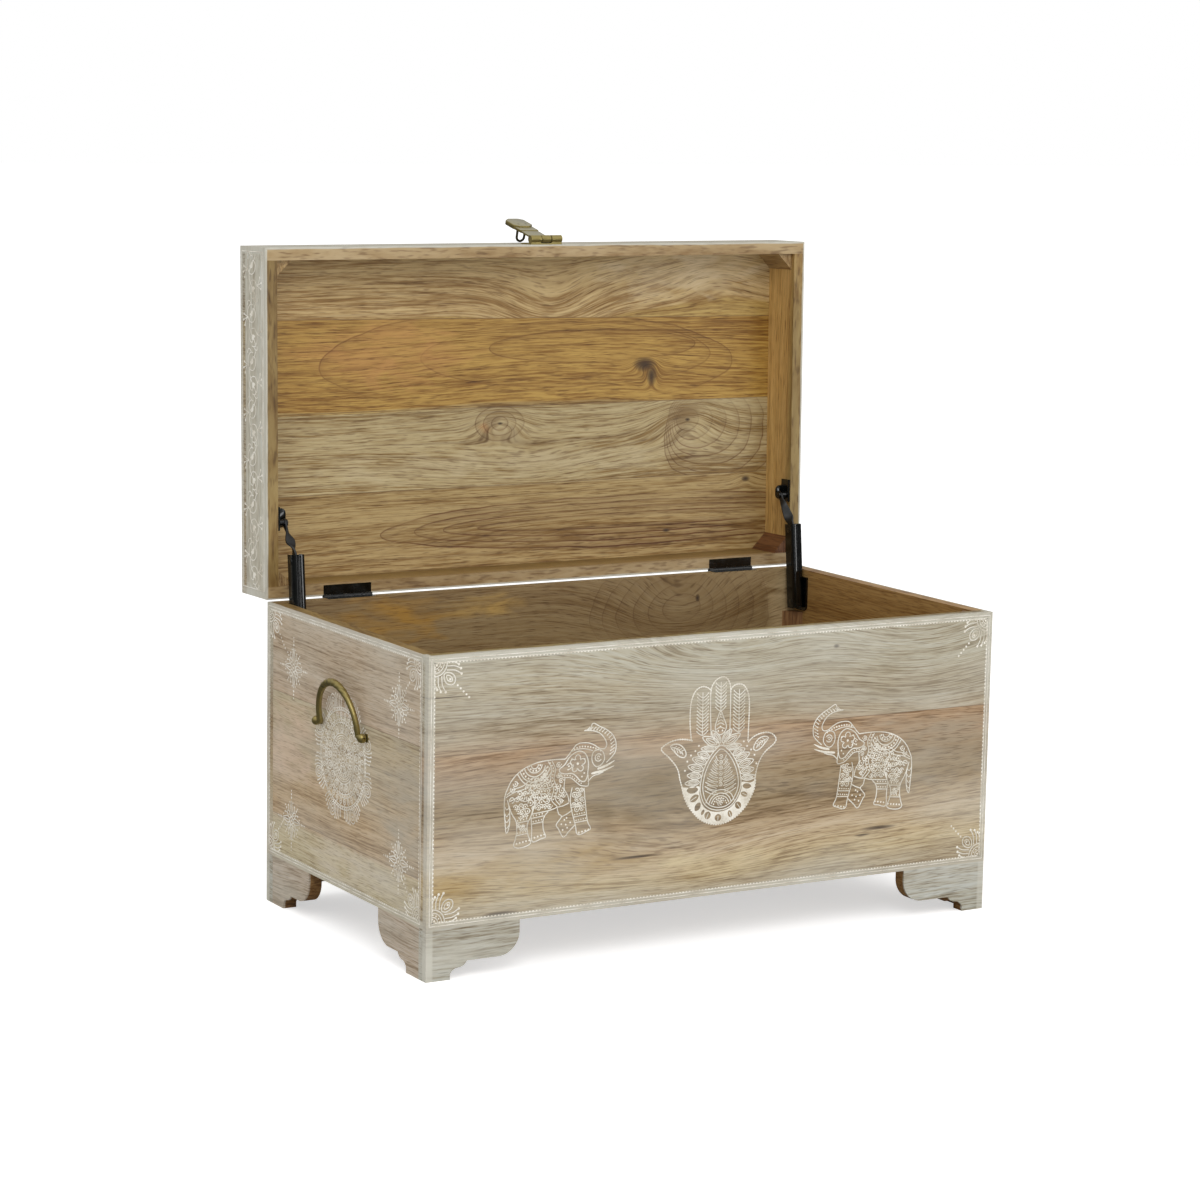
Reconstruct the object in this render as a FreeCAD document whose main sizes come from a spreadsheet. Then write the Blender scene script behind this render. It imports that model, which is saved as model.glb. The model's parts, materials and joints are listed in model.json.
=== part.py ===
import FreeCAD
import Part
import Sketcher
import math
import os
from types import SimpleNamespace

# Storage chest in solid wood, standing on four bracket feet, with its lid open as it is shown.
# Frame: X along the front from left to right, Y from front to back, Z up from the floor.
# The origin is on the floor, under the middle of the open chest's outline. Lengths in mm, angles in degrees.
# The pieces are drawn about the middle of the four feet and then all moved forward into that frame.

SIZES = {
    # Body: outside width and depth, height of the panels above the feet, thickness of the boards
    "width": 800,
    "depth": 440,
    "body_height": 322,
    "board": 18,
    # Bottom board, housed in a groove that runs round the four panels
    "bottom_thick": 12,
    "bottom_raise": 10,
    "groove_deep": 8,
    "groove_play": 0.5,
    # Three-cornered glue blocks in the upright corners of the body
    "block_leg": 20,
    "block_drop": 2,
    "block_clear": 3,
    # Bracket feet: each is a face board that laps the end of a side board, with a glue block behind
    "foot_height": 62,
    "foot_long": 124,
    "foot_toe": 32,
    "foot_step": 6.5,
    "foot_ogee": 22,
    "foot_ogee_round": 12,
    "foot_arch": 20.5,
    "foot_round": 28,
    "foot_block": 28,
    "foot_block_lift": 10,
    # Lid: height of the whole lid, thickness of its top, thickness of its rails, rounding of its top
    "lid_height": 77,
    "lid_top": 16,
    "lid_rail": 16,
    "lid_round": 2,
    "lid_block_leg": 22,
    "lid_block_drop": 6,
    # Open angle of the lid and the gap left between lid and body when it is shut
    "open_angle": 91,
    "seam": 1,
    # Butt hinges: distance of each from the middle, axis of the knuckled barrel behind the back face, two leaves
    "hinge_from_middle": 288,
    "hinge_long": 67,
    "barrel_back": 1.2,
    "barrel_round": 2.6,
    "knuckle_gap": 0.3,
    "leaf_reach": 15.2,
    "leaf_thick": 1.5,
    "leaf_gap": 0.5,
    "leaf_clear": 0.4,
    "hinge_pin": 1.4,
    "hinge_pin_head": 2.3,
    "hinge_pin_head_thick": 1,
    "pin_fit": 0.05,
    # Wood screws of the hinges, the stays and the clasp: radius of head and shank, length of shank
    "screw_head": 2.6,
    "screw_shank": 1.4,
    "screw_long": 12,
    "screw_head_thick": 1,
    # Lid stays: a channel arm on the body, a flat link on the lid, pivots on a parallelogram with the hinge
    "stay_forward": 37,
    "stay_below": 44,
    "stay_along": 96.5,
    "stay_in": 8,
    "stay_gap": 0.5,
    "stay_pivot": 2.5,
    "stay_pivot_head": 4.5,
    "stay_pivot_head_thick": 1.5,
    "stay_end_play": 0.3,
    "knee_play": 0.3,
    "channel_wide": 13,
    "channel_deep": 15,
    "channel_wall": 1.6,
    "channel_end": 8,
    "link_thick": 3,
    "link_eye": 5.5,
    "link_waist": 7.5,
    "bracket_thick": 3,
    "bracket_below": 12,
    "bracket_above": 34,
    "bracket_half": 13,
    "bracket_round": 4,
    "bracket_screw_low": 17,
    "bracket_screw_high": 28,
    "lid_bracket_before": 9,
    "lid_bracket_after": 21,
    "lid_bracket_deep": 17,
    "lid_bracket_set": 1,
    "lid_bracket_screw_near": 9,
    "lid_bracket_screw_far": 17,
    # Bail handles on the two ends: ball posts through the panel, a swinging arched bail between them
    "handle_height": 261,
    "handle_span": 125,
    "handle_stand": 6.6,
    "handle_ball": 5.8,
    "handle_rose": 5.2,
    "handle_rose_thick": 1.2,
    "handle_neck": 3.5,
    "handle_stem": 2.5,
    "handle_nut": 5,
    "handle_nut_thick": 4,
    "bail_rod": 3.6,
    "bail_pin": 2.2,
    "bail_gap": 1,
    "bail_leg": 6,
    "bail_grip": 4.7,
    "bail_grip_sweep": 70,
    "bail_lean": 8,
    # Clasp in the middle of the lid's front rail: plate, three-knuckle barrel, strap with a shield end
    "clasp_long": 46,
    "clasp_stand": 7,
    "clasp_set": 5.5,
    "clasp_barrel": 5,
    "clasp_pin": 1.8,
    "clasp_plate_thick": 1.6,
    "clasp_plate_high": 24,
    "clasp_plate_low": 3,
    "clasp_tab_half": 3,
    "clasp_tab_bite": 2.5,
    "clasp_screw_up": 15,
    "clasp_screw_apart": 28,
    "strap_wide": 18,
    "strap_long": 92,
    "strap_thick": 2.5,
    "strap_tilt": 14,
    "shield_wide": 28,
    "shield_long": 32,
    "shield_cut": 8,
    "shield_thick": 4,
    "shield_bevel": 1.5,
    "loop_rod": 1.6,
    "loop_half": 5.5,
    "loop_from_axis": 65,
    "loop_gap": 0.6,
    # Length by which a cutting shape runs past the face that it opens
    "overrun": 2,
}

# Where the widest stretch of a stay link begins and ends, along the link from its lid pivot
WAIST_SHARES = (0.34, 0.62)
# Places of the three screws of a hinge leaf, from its middle along its length
HINGE_SCREW_SHARES = (-0.36, 0, 0.36)
# Knuckles of a butt hinge: those of the body leaf and those of the lid leaf, of five in all
HINGE_KNUCKLES = 5
BODY_KNUCKLES = (0, 2, 4)
LID_KNUCKLES = (1, 3)
CLASP_KNUCKLES = 3

doc = FreeCAD.newDocument("storage_chest")
sheet = doc.addObject("Spreadsheet::Sheet", "dim")
for row, (alias, number) in enumerate(SIZES.items(), 1):
    sheet.set(f"A{row}", alias)
    sheet.set(f"B{row}", str(number))
    sheet.setAlias(f"B{row}", alias)
doc.recompute()


class Size:
    """A size with its present value and the expression of sheet cells that drives it."""

    def __init__(self, text, value):
        self.text = text
        self.value = value

    def join(self, sign, other, value):
        return Size(f"({self.text} {sign} {as_size(other).text})", value)

    def __add__(self, other):
        return self.join("+", other, self.value + as_size(other).value)

    def __sub__(self, other):
        return self.join("-", other, self.value - as_size(other).value)

    def __mul__(self, other):
        return self.join("*", other, self.value * as_size(other).value)

    def __truediv__(self, other):
        return self.join("/", other, self.value / as_size(other).value)

    def __radd__(self, other):
        return as_size(other) + self

    def __rsub__(self, other):
        return as_size(other) - self

    def __rmul__(self, other):
        return as_size(other) * self

    def __neg__(self):
        return self * -1


def as_size(number):
    if isinstance(number, Size):
        return number
    return Size(f"({number})", number)


def hypot(one, two):
    return Size(f"sqrt({one.text} ^ 2 + {two.text} ^ 2)", math.hypot(one.value, two.value))


def slope(rise, run):
    """Angle in degrees whose tangent is rise over run."""
    return Size(f"(atan({rise.text} / {run.text}) / 1 deg)", math.degrees(math.atan(rise.value / run.value)))


def cosine(angle):
    return Size(f"cos({angle.text} * 1 deg)", math.cos(math.radians(angle.value)))


def sine(angle):
    return Size(f"sin({angle.text} * 1 deg)", math.sin(math.radians(angle.value)))


dim = SimpleNamespace(**{name: Size(f"dim.{name}", number) for name, number in SIZES.items()})

pieces = []

AXES = {
    "x": FreeCAD.Vector(1, 0, 0),
    "y": FreeCAD.Vector(0, 1, 0),
    "z": FreeCAD.Vector(0, 0, 1),
}
UPRIGHT = FreeCAD.Rotation()
ALONG = {
    "x": FreeCAD.Rotation(AXES["y"], 90),
    "y": FreeCAD.Rotation(AXES["x"], -90),
    "z": UPRIGHT,
}
# Positive angles about this axis tip an upright piece towards the back
TIP_BACK = FreeCAD.Vector(-1, 0, 0)

# Places that several pieces share
half_width = dim.width / 2
half_depth = dim.depth / 2
inner_x = half_width - dim.board
inner_y = half_depth - dim.board
rim = dim.foot_height + dim.body_height
bottom_under = dim.foot_height + dim.bottom_raise
bottom_over = bottom_under + dim.bottom_thick
hinge_y = half_depth + dim.barrel_back
hinge_z = rim + dim.seam / 2
# In the lid's own frame the hinge axis is zero, as if the lid were shut
lid_rim = dim.seam / 2
lid_back = -dim.barrel_back
lid_front = lid_back - dim.depth
lid_under_top = lid_rim + dim.lid_height - dim.lid_top
lid_inner_x = half_width - dim.lid_rail
open_cosine = cosine(dim.open_angle)
open_sine = sine(dim.open_angle)
# Pivots of the stays: on the body, and the plane in which arm and link swing
stay_y = hinge_y - dim.stay_forward
stay_z = hinge_z - dim.stay_below
stay_x = inner_x - dim.bracket_thick - dim.stay_gap - dim.channel_wide / 2
arm_long = hypot(dim.stay_along, dim.stay_in)
arm_lean = dim.open_angle - 90 + slope(dim.stay_in, dim.stay_along)
link_long = hypot(dim.stay_forward, dim.stay_below)
link_lean = slope(dim.stay_forward, dim.stay_below)
# Radius of a bail's arch, whose legs stand just inside the balls
bail_arch = dim.handle_span / 2 - dim.handle_ball - dim.bail_rod - dim.bail_gap
# Barrel of the clasp, in the lid's own frame
clasp_y = lid_front - dim.clasp_stand
clasp_z = lid_rim + dim.clasp_set
# The strap's end reaches furthest back: middle of the open chest's outline, behind the middle of the feet
strap_back = hinge_y + clasp_y * open_cosine + clasp_z * open_sine
strap_back = strap_back + dim.strap_long * sine(dim.open_angle - dim.strap_tilt)
outline_middle = (strap_back - half_depth) / 2


def bind(thing, **sizes):
    for name, size in sizes.items():
        thing.setExpression(name, as_size(size).text)


def place(thing, x, y, z, axis=None, angle=0):
    """Puts the piece's own zero at a point, turned about one axis by an angle that is a size."""
    if axis is not None:
        thing.Placement = FreeCAD.Placement(FreeCAD.Vector(), FreeCAD.Rotation(axis, as_size(angle).value))
        thing.setExpression(".Placement.Rotation.Angle", as_size(angle).text)
    thing.setExpression(".Placement.Base.x", as_size(x).text)
    thing.setExpression(".Placement.Base.y", as_size(y).text)
    thing.setExpression(".Placement.Base.z", as_size(z).text)


def place_on_lid(thing, x=0, y=0, z=0, less=0):
    """Puts the piece's own zero at a point of the lid's frame and opens it with the lid."""
    place(
        thing,
        x,
        hinge_y + y * open_cosine + z * open_sine,
        hinge_z - y * open_sine + z * open_cosine,
        TIP_BACK,
        dim.open_angle - less,
    )


def box(name, x, y, z):
    """A box between two values on each axis."""
    thing = doc.addObject("Part::Box", name)
    bind(thing, Length=x[1] - x[0], Width=y[1] - y[0], Height=z[1] - z[0])
    place(thing, x[0], y[0], z[0])
    return thing


def rod(name, radius, x, y, z, long, along):
    """A round bar from a point, running along one axis."""
    thing = doc.addObject("Part::Cylinder", name)
    bind(thing, Radius=radius, Height=long)
    thing.Placement = FreeCAD.Placement(FreeCAD.Vector(), ALONG[along])
    place(thing, x, y, z)
    return thing


def ball(name, radius, x, y, z):
    thing = doc.addObject("Part::Sphere", name)
    bind(thing, Radius=radius)
    place(thing, x, y, z)
    return thing


def fuse(name, things):
    thing = doc.addObject("Part::MultiFuse", name)
    thing.Shapes = things
    thing.Refine = True
    return thing


def group(name, things):
    thing = doc.addObject("Part::Compound", name)
    thing.Links = things
    return thing


def cut(name, base, tools):
    thing = doc.addObject("Part::Cut", name)
    thing.Base = base
    thing.Tool = tools[0] if len(tools) == 1 else group(f"{name}_tools", tools)
    return thing


def keep(thing, label):
    """Moves a finished object into the frame and counts it as a sub-part with this name."""
    piece = group(f"{label}_piece", [thing])
    place(piece, 0, -outline_middle, 0)
    piece.Label = label
    pieces.append(piece)


def outline(name, plane, corners, thick, bows=None):
    """A plate of even thickness about a plane, from its corners and its bowed sides."""
    body = doc.addObject("PartDesign::Body", name)
    sketch = body.newObject("Sketcher::SketchObject", f"{name}_sketch")
    base = next(feature for feature in body.Origin.OriginFeatures if feature.Role == plane)
    sketch.AttachmentSupport = [(base, "")]
    sketch.MapMode = "FlatFace"
    points = [FreeCAD.Vector(as_size(u).value, as_size(v).value, 0) for u, v in corners]
    bows = bows or {}
    count = len(corners)
    ends = [(1, 2)] * count
    for index, start in enumerate(points):
        end = points[(index + 1) % count]
        side = Part.LineSegment(start, end)
        if index in bows:
            radius, hand = bows[index]
            side = bowed(start, end, radius.value, hand)
            if hand < 0:
                ends[index] = (2, 1)
        sketch.addGeometry(side, False)
    for index in range(count):
        after = (index + 1) % count
        sketch.addConstraint(Sketcher.Constraint("Coincident", index, ends[index][1], after, ends[after][0]))
    for index, (u, v) in enumerate(corners):
        for kind, size in (("DistanceX", u), ("DistanceY", v)):
            tie(sketch, Sketcher.Constraint(kind, -1, 1, index, ends[index][0], as_size(size).value), size)
        if index in bows:
            tie(sketch, Sketcher.Constraint("Radius", index, bows[index][0].value), bows[index][0])
    pad = body.newObject("PartDesign::Pad", f"{name}_pad")
    pad.Profile = sketch
    pad.Midplane = True
    bind(pad, Length=thick)
    return body


def soften(body, kind, picks):
    """Bevels or rounds the edges of a plate whose bounding boxes are picked."""
    plate = body.Tip
    edges = [f"Edge{number}" for number, edge in enumerate(plate.Shape.Edges, 1) if picks(edge.BoundBox)]
    soft = body.newObject(f"PartDesign::{kind}", f"{body.Name}_edges")
    soft.Base = (plate, edges)
    return soft


def tie(sketch, constraint, size):
    index = sketch.addConstraint(constraint)
    sketch.setExpression(f"Constraints[{index}]", as_size(size).text)


def bowed(start, end, radius, hand):
    """An arc between two points that bulges to the right of their direction (hand 1) or to the left (-1).

    It runs counterclockwise, so an arc that bulges to the left is drawn from its end to its start.
    """
    chord = end - start
    aside = FreeCAD.Vector(chord.y, -chord.x, 0) / chord.Length
    rise = radius - math.sqrt(radius ** 2 - (chord.Length / 2) ** 2)
    middle = (start + end) / 2 + aside * rise * hand
    if hand < 0:
        return Part.Arc(end, middle, start)
    return Part.Arc(start, middle, end)


def stretch(start, way, long):
    """The two ends, lower first, of a stretch that runs from a value along an axis or against it."""
    if way < 0:
        return (start - long, start)
    return (start, start + long)


def bar(name, radius, x, y, z, long, way):
    """A round bar that runs from a point along X, or against it."""
    return rod(name, radius, stretch(x, way, long)[0], y, z, long, "x")


def screw(name, x, y, z, along, way):
    """A wood screw with its flat head flush at a point, driven along an axis or against it."""
    start = {"x": x, "y": y, "z": z}
    parts = []
    for part, radius, long in (
        ("head", dim.screw_head, dim.screw_head_thick),
        ("shank", dim.screw_shank, dim.screw_long),
    ):
        ends = dict(start)
        ends[along] = stretch(start[along], way, long)[0]
        parts.append(rod(f"{name}_{part}", radius, ends["x"], ends["y"], ends["z"], long, along))
    return fuse(name, parts)


def hinge_side(side):
    return side * dim.hinge_from_middle


def hinge_screws(name, y, z, way):
    """The six screws of the two leaves on one side of the hinges, driven down or up."""
    screws = []
    for side in (-1, 1):
        for number, share in enumerate(HINGE_SCREW_SHARES):
            x = hinge_side(side) + share * dim.hinge_long
            middle = y - (dim.leaf_reach + dim.barrel_round) / 2
            level = z + way * dim.leaf_gap / 2
            screws.append(screw(f"{name}_{side + 1}_{number}", x, middle, level, "z", way))
    return screws


def leaf_levels(z, way):
    """Lower and upper face of a hinge leaf beside the axis: under it (way -1) or over it (1)."""
    return stretch(z + way * dim.leaf_gap / 2, way, dim.leaf_thick)


def hinge_leaf(name, side, y, z, way, knuckles, screws):
    """A hinge leaf with its own knuckles round the axis at y, z."""
    left = hinge_side(side) - dim.hinge_long / 2
    right = hinge_side(side) + dim.hinge_long / 2
    levels = leaf_levels(z, way)
    edge = y - dim.barrel_round - dim.leaf_clear
    parts = [box(f"{name}_plate", (left, right), (y - dim.leaf_reach, edge), levels)]
    step = dim.hinge_long / HINGE_KNUCKLES
    for number in knuckles:
        start = left + number * step + dim.knuckle_gap / 2
        end = start + step - dim.knuckle_gap
        parts.append(box(f"{name}_tab_{number}", (start, end), (edge - dim.overrun, y), levels))
        parts.append(rod(f"{name}_knuckle_{number}", dim.barrel_round, start, y, z, end - start, "x"))
    bore = rod(
        f"{name}_bore",
        dim.hinge_pin + dim.pin_fit,
        left - dim.overrun,
        y,
        z,
        dim.hinge_long + 2 * dim.overrun,
        "x",
    )
    return cut(name, fuse(f"{name}_blank", parts), [bore] + screws)


def hinge_mortise(name, side, y, z, way, back):
    """The shallow bed of a leaf and the bay of the barrel, open to the back face and to the rim."""
    left = hinge_side(side) - dim.hinge_long / 2
    right = hinge_side(side) + dim.hinge_long / 2
    levels = leaf_levels(z, way)
    room = dim.barrel_round + dim.leaf_clear
    ends = dim.hinge_pin_head_thick + dim.leaf_clear
    bed_depth = (levels[0], levels[1] + dim.overrun)
    bay_depth = (z - room, z + dim.overrun)
    if way > 0:
        bed_depth = (levels[0] - dim.overrun, levels[1])
        bay_depth = (z - dim.overrun, z + room)
    bed = box(f"{name}_bed", (left, right), (y - dim.leaf_reach, back + dim.overrun), bed_depth)
    bay = box(f"{name}_bay", (left - ends, right + ends), (y - room, back + dim.overrun), bay_depth)
    return fuse(name, [bed, bay])


def make_hinges(body_screws, lid_screws):
    for side, word in ((-1, "left"), (1, "right")):
        body_name = f"hinge_{word}_body_leaf"
        own = body_screws[:3] if side < 0 else body_screws[3:]
        leaf = hinge_leaf(f"{body_name}_solid", side, hinge_y, hinge_z, -1, BODY_KNUCKLES, own)
        keep(leaf, body_name)
        lid_name = f"hinge_{word}_lid_leaf"
        own = lid_screws[:3] if side < 0 else lid_screws[3:]
        leaf = hinge_leaf(f"{lid_name}_solid", side, as_size(0), as_size(0), 1, LID_KNUCKLES, own)
        place_on_lid(leaf)
        keep(leaf, lid_name)
        make_hinge_pin(side, f"hinge_{word}_pin")
    keep(group("body_screw_group", body_screws), "hinge_body_screws")
    screws = group("lid_screw_group", lid_screws)
    place_on_lid(screws)
    keep(screws, "hinge_lid_screws")


def make_hinge_pin(side, label):
    """A pin through the five knuckles, with a flat head on each end knuckle."""
    left = hinge_side(side) - dim.hinge_long / 2 + dim.knuckle_gap / 2
    long = dim.hinge_long - dim.knuckle_gap
    shaft = rod(f"{label}_shaft", dim.hinge_pin, left, hinge_y, hinge_z, long, "x")
    head = dim.hinge_pin_head_thick
    heads = [
        rod(f"{label}_head_{number}", dim.hinge_pin_head, x, hinge_y, hinge_z, head, "x")
        for number, x in enumerate((left - head, left + long))
    ]
    keep(fuse(f"{label}_solid", [shaft] + heads), label)


def bottom_groove(name, x, y):
    return box(name, x, y, (bottom_under, bottom_over + dim.groove_play))


def make_long_panels(body_screws):
    """Front and back panel: they lap the ends of the side panels."""
    reach = inner_x + dim.groove_deep
    for side, label in ((-1, "front_panel"), (1, "back_panel")):
        outer = side * half_depth
        inner = side * inner_y
        bed = side * (inner_y + dim.groove_deep)
        lip = side * (inner_y - dim.overrun)
        across = (outer, inner) if side < 0 else (inner, outer)
        groove = (bed, lip) if side < 0 else (lip, bed)
        blank = box(f"{label}_blank", (-half_width, half_width), across, (dim.foot_height, rim))
        tools = [bottom_groove(f"{label}_groove", (-reach, reach), groove)]
        if side > 0:
            tools += [
                hinge_mortise(f"{label}_mortise_{end + 1}", end, hinge_y, hinge_z, -1, half_depth)
                for end in (-1, 1)
            ]
            tools += body_screws
        keep(cut(f"{label}_solid", blank, tools), label)


def make_side_panels(stems, stay_screws):
    """Left and right panel, between the long panels, bored for the handle stems and the stay screws."""
    for side, label in ((-1, "left_panel"), (1, "right_panel")):
        outer = side * half_width
        inner = side * inner_x
        bed = side * (inner_x + dim.groove_deep)
        lip = side * (inner_x - dim.overrun)
        across = (outer, inner) if side < 0 else (inner, outer)
        groove = (bed, lip) if side < 0 else (lip, bed)
        blank = box(f"{label}_blank", across, (-inner_y, inner_y), (dim.foot_height, rim))
        end = inner_y + dim.overrun
        tools = [bottom_groove(f"{label}_groove", groove, (-end, end))]
        keep(cut(f"{label}_solid", blank, tools + stems[side] + stay_screws[side]), label)


def make_bottom():
    """Bottom board, standing on the lower cheek of the groove with play at its edges."""
    reach_x = inner_x + dim.groove_deep - dim.groove_play
    reach_y = inner_y + dim.groove_deep - dim.groove_play
    board = box("bottom_solid", (-reach_x, reach_x), (-reach_y, reach_y), (bottom_under, bottom_over))
    keep(board, "bottom_panel")


def corner_block(name, x, y, leg, side_x, side_y, long):
    """A three-cornered upright prism in an inner corner."""
    corners = [(x, y), (x - side_x * leg, y), (x, y - side_y * leg)]
    return outline(name, "XY_Plane", corners, long)


def make_corner_blocks():
    for side_y, row in ((-1, "front"), (1, "back")):
        top = rim - dim.block_drop
        if side_y > 0:
            top = stay_z - dim.bracket_below - dim.block_clear
        for side_x, end in ((-1, "left"), (1, "right")):
            name = f"corner_block_{row}_{end}"
            long = top - bottom_over
            block = corner_block(
                f"{name}_solid",
                side_x * inner_x,
                side_y * inner_y,
                dim.block_leg,
                side_x,
                side_y,
                long,
            )
            place(block, 0, 0, bottom_over + long / 2)
            keep(block, name)


def foot_board(name, plane, long, hand):
    """Scrolled foot board: toe, small step, ogee, flat arch and rounded inner corner."""
    middle = dim.foot_toe + dim.foot_ogee / 2
    points = [
        (0, 0),
        (dim.foot_toe, 0),
        (dim.foot_toe, dim.foot_step),
        (middle, (dim.foot_step + dim.foot_arch) / 2),
        (dim.foot_toe + dim.foot_ogee, dim.foot_arch),
        (long - dim.foot_round, dim.foot_arch),
        (long, dim.foot_arch + dim.foot_round),
        (long, dim.foot_height),
        (0, dim.foot_height),
    ]
    corners = [(hand * as_size(along), up) for along, up in points]
    bows = {2: (dim.foot_ogee_round, -hand), 3: (dim.foot_ogee_round, hand), 5: (dim.foot_round, hand)}
    return outline(name, plane, corners, dim.board, bows)


def make_feet():
    for side_y, row in ((-1, "front"), (1, "back")):
        for side_x, end in ((-1, "left"), (1, "right")):
            name = f"foot_{row}_{end}"
            face = foot_board(f"{name}_face_solid", "XZ_Plane", dim.foot_long, -side_x)
            place(face, side_x * half_width, side_y * (half_depth - dim.board / 2), 0)
            keep(face, f"{name}_face_board")
            side = foot_board(f"{name}_side_solid", "YZ_Plane", dim.foot_long - dim.board, -side_y)
            place(side, side_x * (half_width - dim.board / 2), side_y * inner_y, 0)
            keep(side, f"{name}_side_board")
            block = box(
                f"{name}_block_solid",
                stretch(side_x * inner_x, -side_x, dim.foot_block),
                stretch(side_y * inner_y, -side_y, dim.foot_block),
                (dim.foot_block_lift, bottom_under),
            )
            keep(block, f"{name}_glue_block")


def make_lid_boards(back_screws, stay_screws, clasp_screws):
    """Four rails and the top that lies on them, in the lid's own frame, opened with it."""
    levels = (lid_rim, lid_under_top)
    span = (-half_width, half_width)
    front = box("lid_front_rail_blank", span, (lid_front, lid_front + dim.lid_rail), levels)
    front = cut("lid_front_rail_solid", front, clasp_screws)
    back = box("lid_back_rail_blank", span, (lid_back - dim.lid_rail, lid_back), levels)
    mortises = [
        hinge_mortise(f"lid_back_rail_mortise_{side + 1}", side, as_size(0), as_size(0), 1, lid_back)
        for side in (-1, 1)
    ]
    back = cut("lid_back_rail_solid", back, mortises + back_screws)
    rails = [(front, "lid_front_rail"), (back, "lid_back_rail")]
    for side, label in ((-1, "lid_left_rail"), (1, "lid_right_rail")):
        across = stretch(side * half_width, -side, dim.lid_rail)
        along = (lid_front + dim.lid_rail, lid_back - dim.lid_rail)
        rail = cut(f"{label}_solid", box(f"{label}_blank", across, along, levels), stay_screws[side])
        rails.append((rail, label))
    for rail, label in rails:
        place_on_lid(rail)
        keep(rail, label)
    make_lid_top()


def make_lid_top():
    """Top board with its upper edges rounded."""
    corners = [
        (-half_width, lid_front),
        (half_width, lid_front),
        (half_width, lid_back),
        (-half_width, lid_back),
    ]
    top = outline("lid_top_solid", "XY_Plane", corners, dim.lid_top)
    doc.recompute()
    high = top.Tip.Shape.BoundBox.ZMax
    soft = soften(top, "Fillet", lambda edge: math.isclose(edge.ZMin, high, abs_tol=dim.pin_fit.value))
    bind(soft, Radius=dim.lid_round)
    place_on_lid(top, 0, 0, lid_under_top + dim.lid_top / 2)
    keep(top, "lid_top_panel")


def make_lid_blocks():
    long = lid_under_top - lid_rim - dim.lid_block_drop
    for row, side_y, y in (
        ("front", -1, lid_front + dim.lid_rail),
        ("back", 1, lid_back - dim.lid_rail),
    ):
        for side_x, end in ((-1, "left"), (1, "right")):
            name = f"lid_block_{row}_{end}"
            x = side_x * lid_inner_x
            block = corner_block(f"{name}_solid", x, y, dim.lid_block_leg, side_x, side_y, long)
            place_on_lid(block, 0, 0, lid_under_top - long / 2)
            keep(block, name)


def body_bracket_screws(side):
    x = side * (inner_x - dim.bracket_thick)
    return [
        screw(f"stay_body_screw_{side + 1}_{number}", x, stay_y, stay_z + up, "x", side)
        for number, up in enumerate((dim.bracket_screw_low, dim.bracket_screw_high))
    ]


def lid_bracket_screws(side):
    x = side * (lid_inner_x - dim.bracket_thick)
    z = lid_rim + dim.lid_bracket_set + dim.lid_bracket_deep / 2
    return [
        screw(f"stay_lid_screw_{side + 1}_{number}", x, -dim.stay_along - out, z, "x", side)
        for number, out in enumerate((dim.lid_bracket_screw_near, dim.lid_bracket_screw_far))
    ]


def make_body_bracket(side, word, screws):
    """Plate on the inside of the end panel, with the headed stud that the arm turns on."""
    name = f"stay_{word}_body_bracket"
    half = dim.bracket_half
    low = -dim.bracket_below
    corners = [
        (-half, low + dim.bracket_round),
        (-half + dim.bracket_round, low),
        (half - dim.bracket_round, low),
        (half, low + dim.bracket_round),
        (half, dim.bracket_above),
        (-half, dim.bracket_above),
    ]
    plate = outline(f"{name}_plate", "YZ_Plane", corners, dim.bracket_thick)
    place(plate, side * (inner_x - dim.bracket_thick / 2), stay_y, stay_z)
    start = side * (inner_x - dim.bracket_thick)
    long = dim.stay_gap + dim.channel_wide + dim.stay_end_play
    stud = bar(f"{name}_stud", dim.stay_pivot, start, stay_y, stay_z, long, -side)
    end = start - side * long
    head = bar(f"{name}_head", dim.stay_pivot_head, end, stay_y, stay_z, dim.stay_pivot_head_thick, -side)
    keep(cut(f"{name}_solid", fuse(f"{name}_blank", [plate, stud, head]), screws), name)


def make_lid_bracket(side, word, screws):
    """Plate on the inside of the lid's end rail, with a shouldered stud for the link."""
    name = f"stay_{word}_lid_bracket"
    y = -dim.stay_along
    low = lid_rim + dim.lid_bracket_set
    plate = box(
        f"{name}_plate",
        stretch(side * lid_inner_x, -side, dim.bracket_thick),
        (y - dim.lid_bracket_after, y + dim.lid_bracket_before),
        (low, low + dim.lid_bracket_deep),
    )
    start = side * (lid_inner_x - dim.bracket_thick)
    shoulder = lid_inner_x - dim.bracket_thick - stay_x - dim.link_thick / 2 - dim.stay_end_play
    neck = dim.link_thick + 2 * dim.stay_end_play
    parts = [plate]
    for part, radius, long in (
        ("shoulder", dim.stay_pivot_head, shoulder),
        ("neck", dim.stay_pivot, neck),
        ("head", dim.stay_pivot_head, dim.stay_pivot_head_thick),
    ):
        parts.append(bar(f"{name}_{part}", radius, start, y, dim.stay_in, long, -side))
        start = start - side * long
    bracket = cut(f"{name}_solid", fuse(f"{name}_blank", parts), screws)
    place_on_lid(bracket)
    keep(bracket, name)


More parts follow.
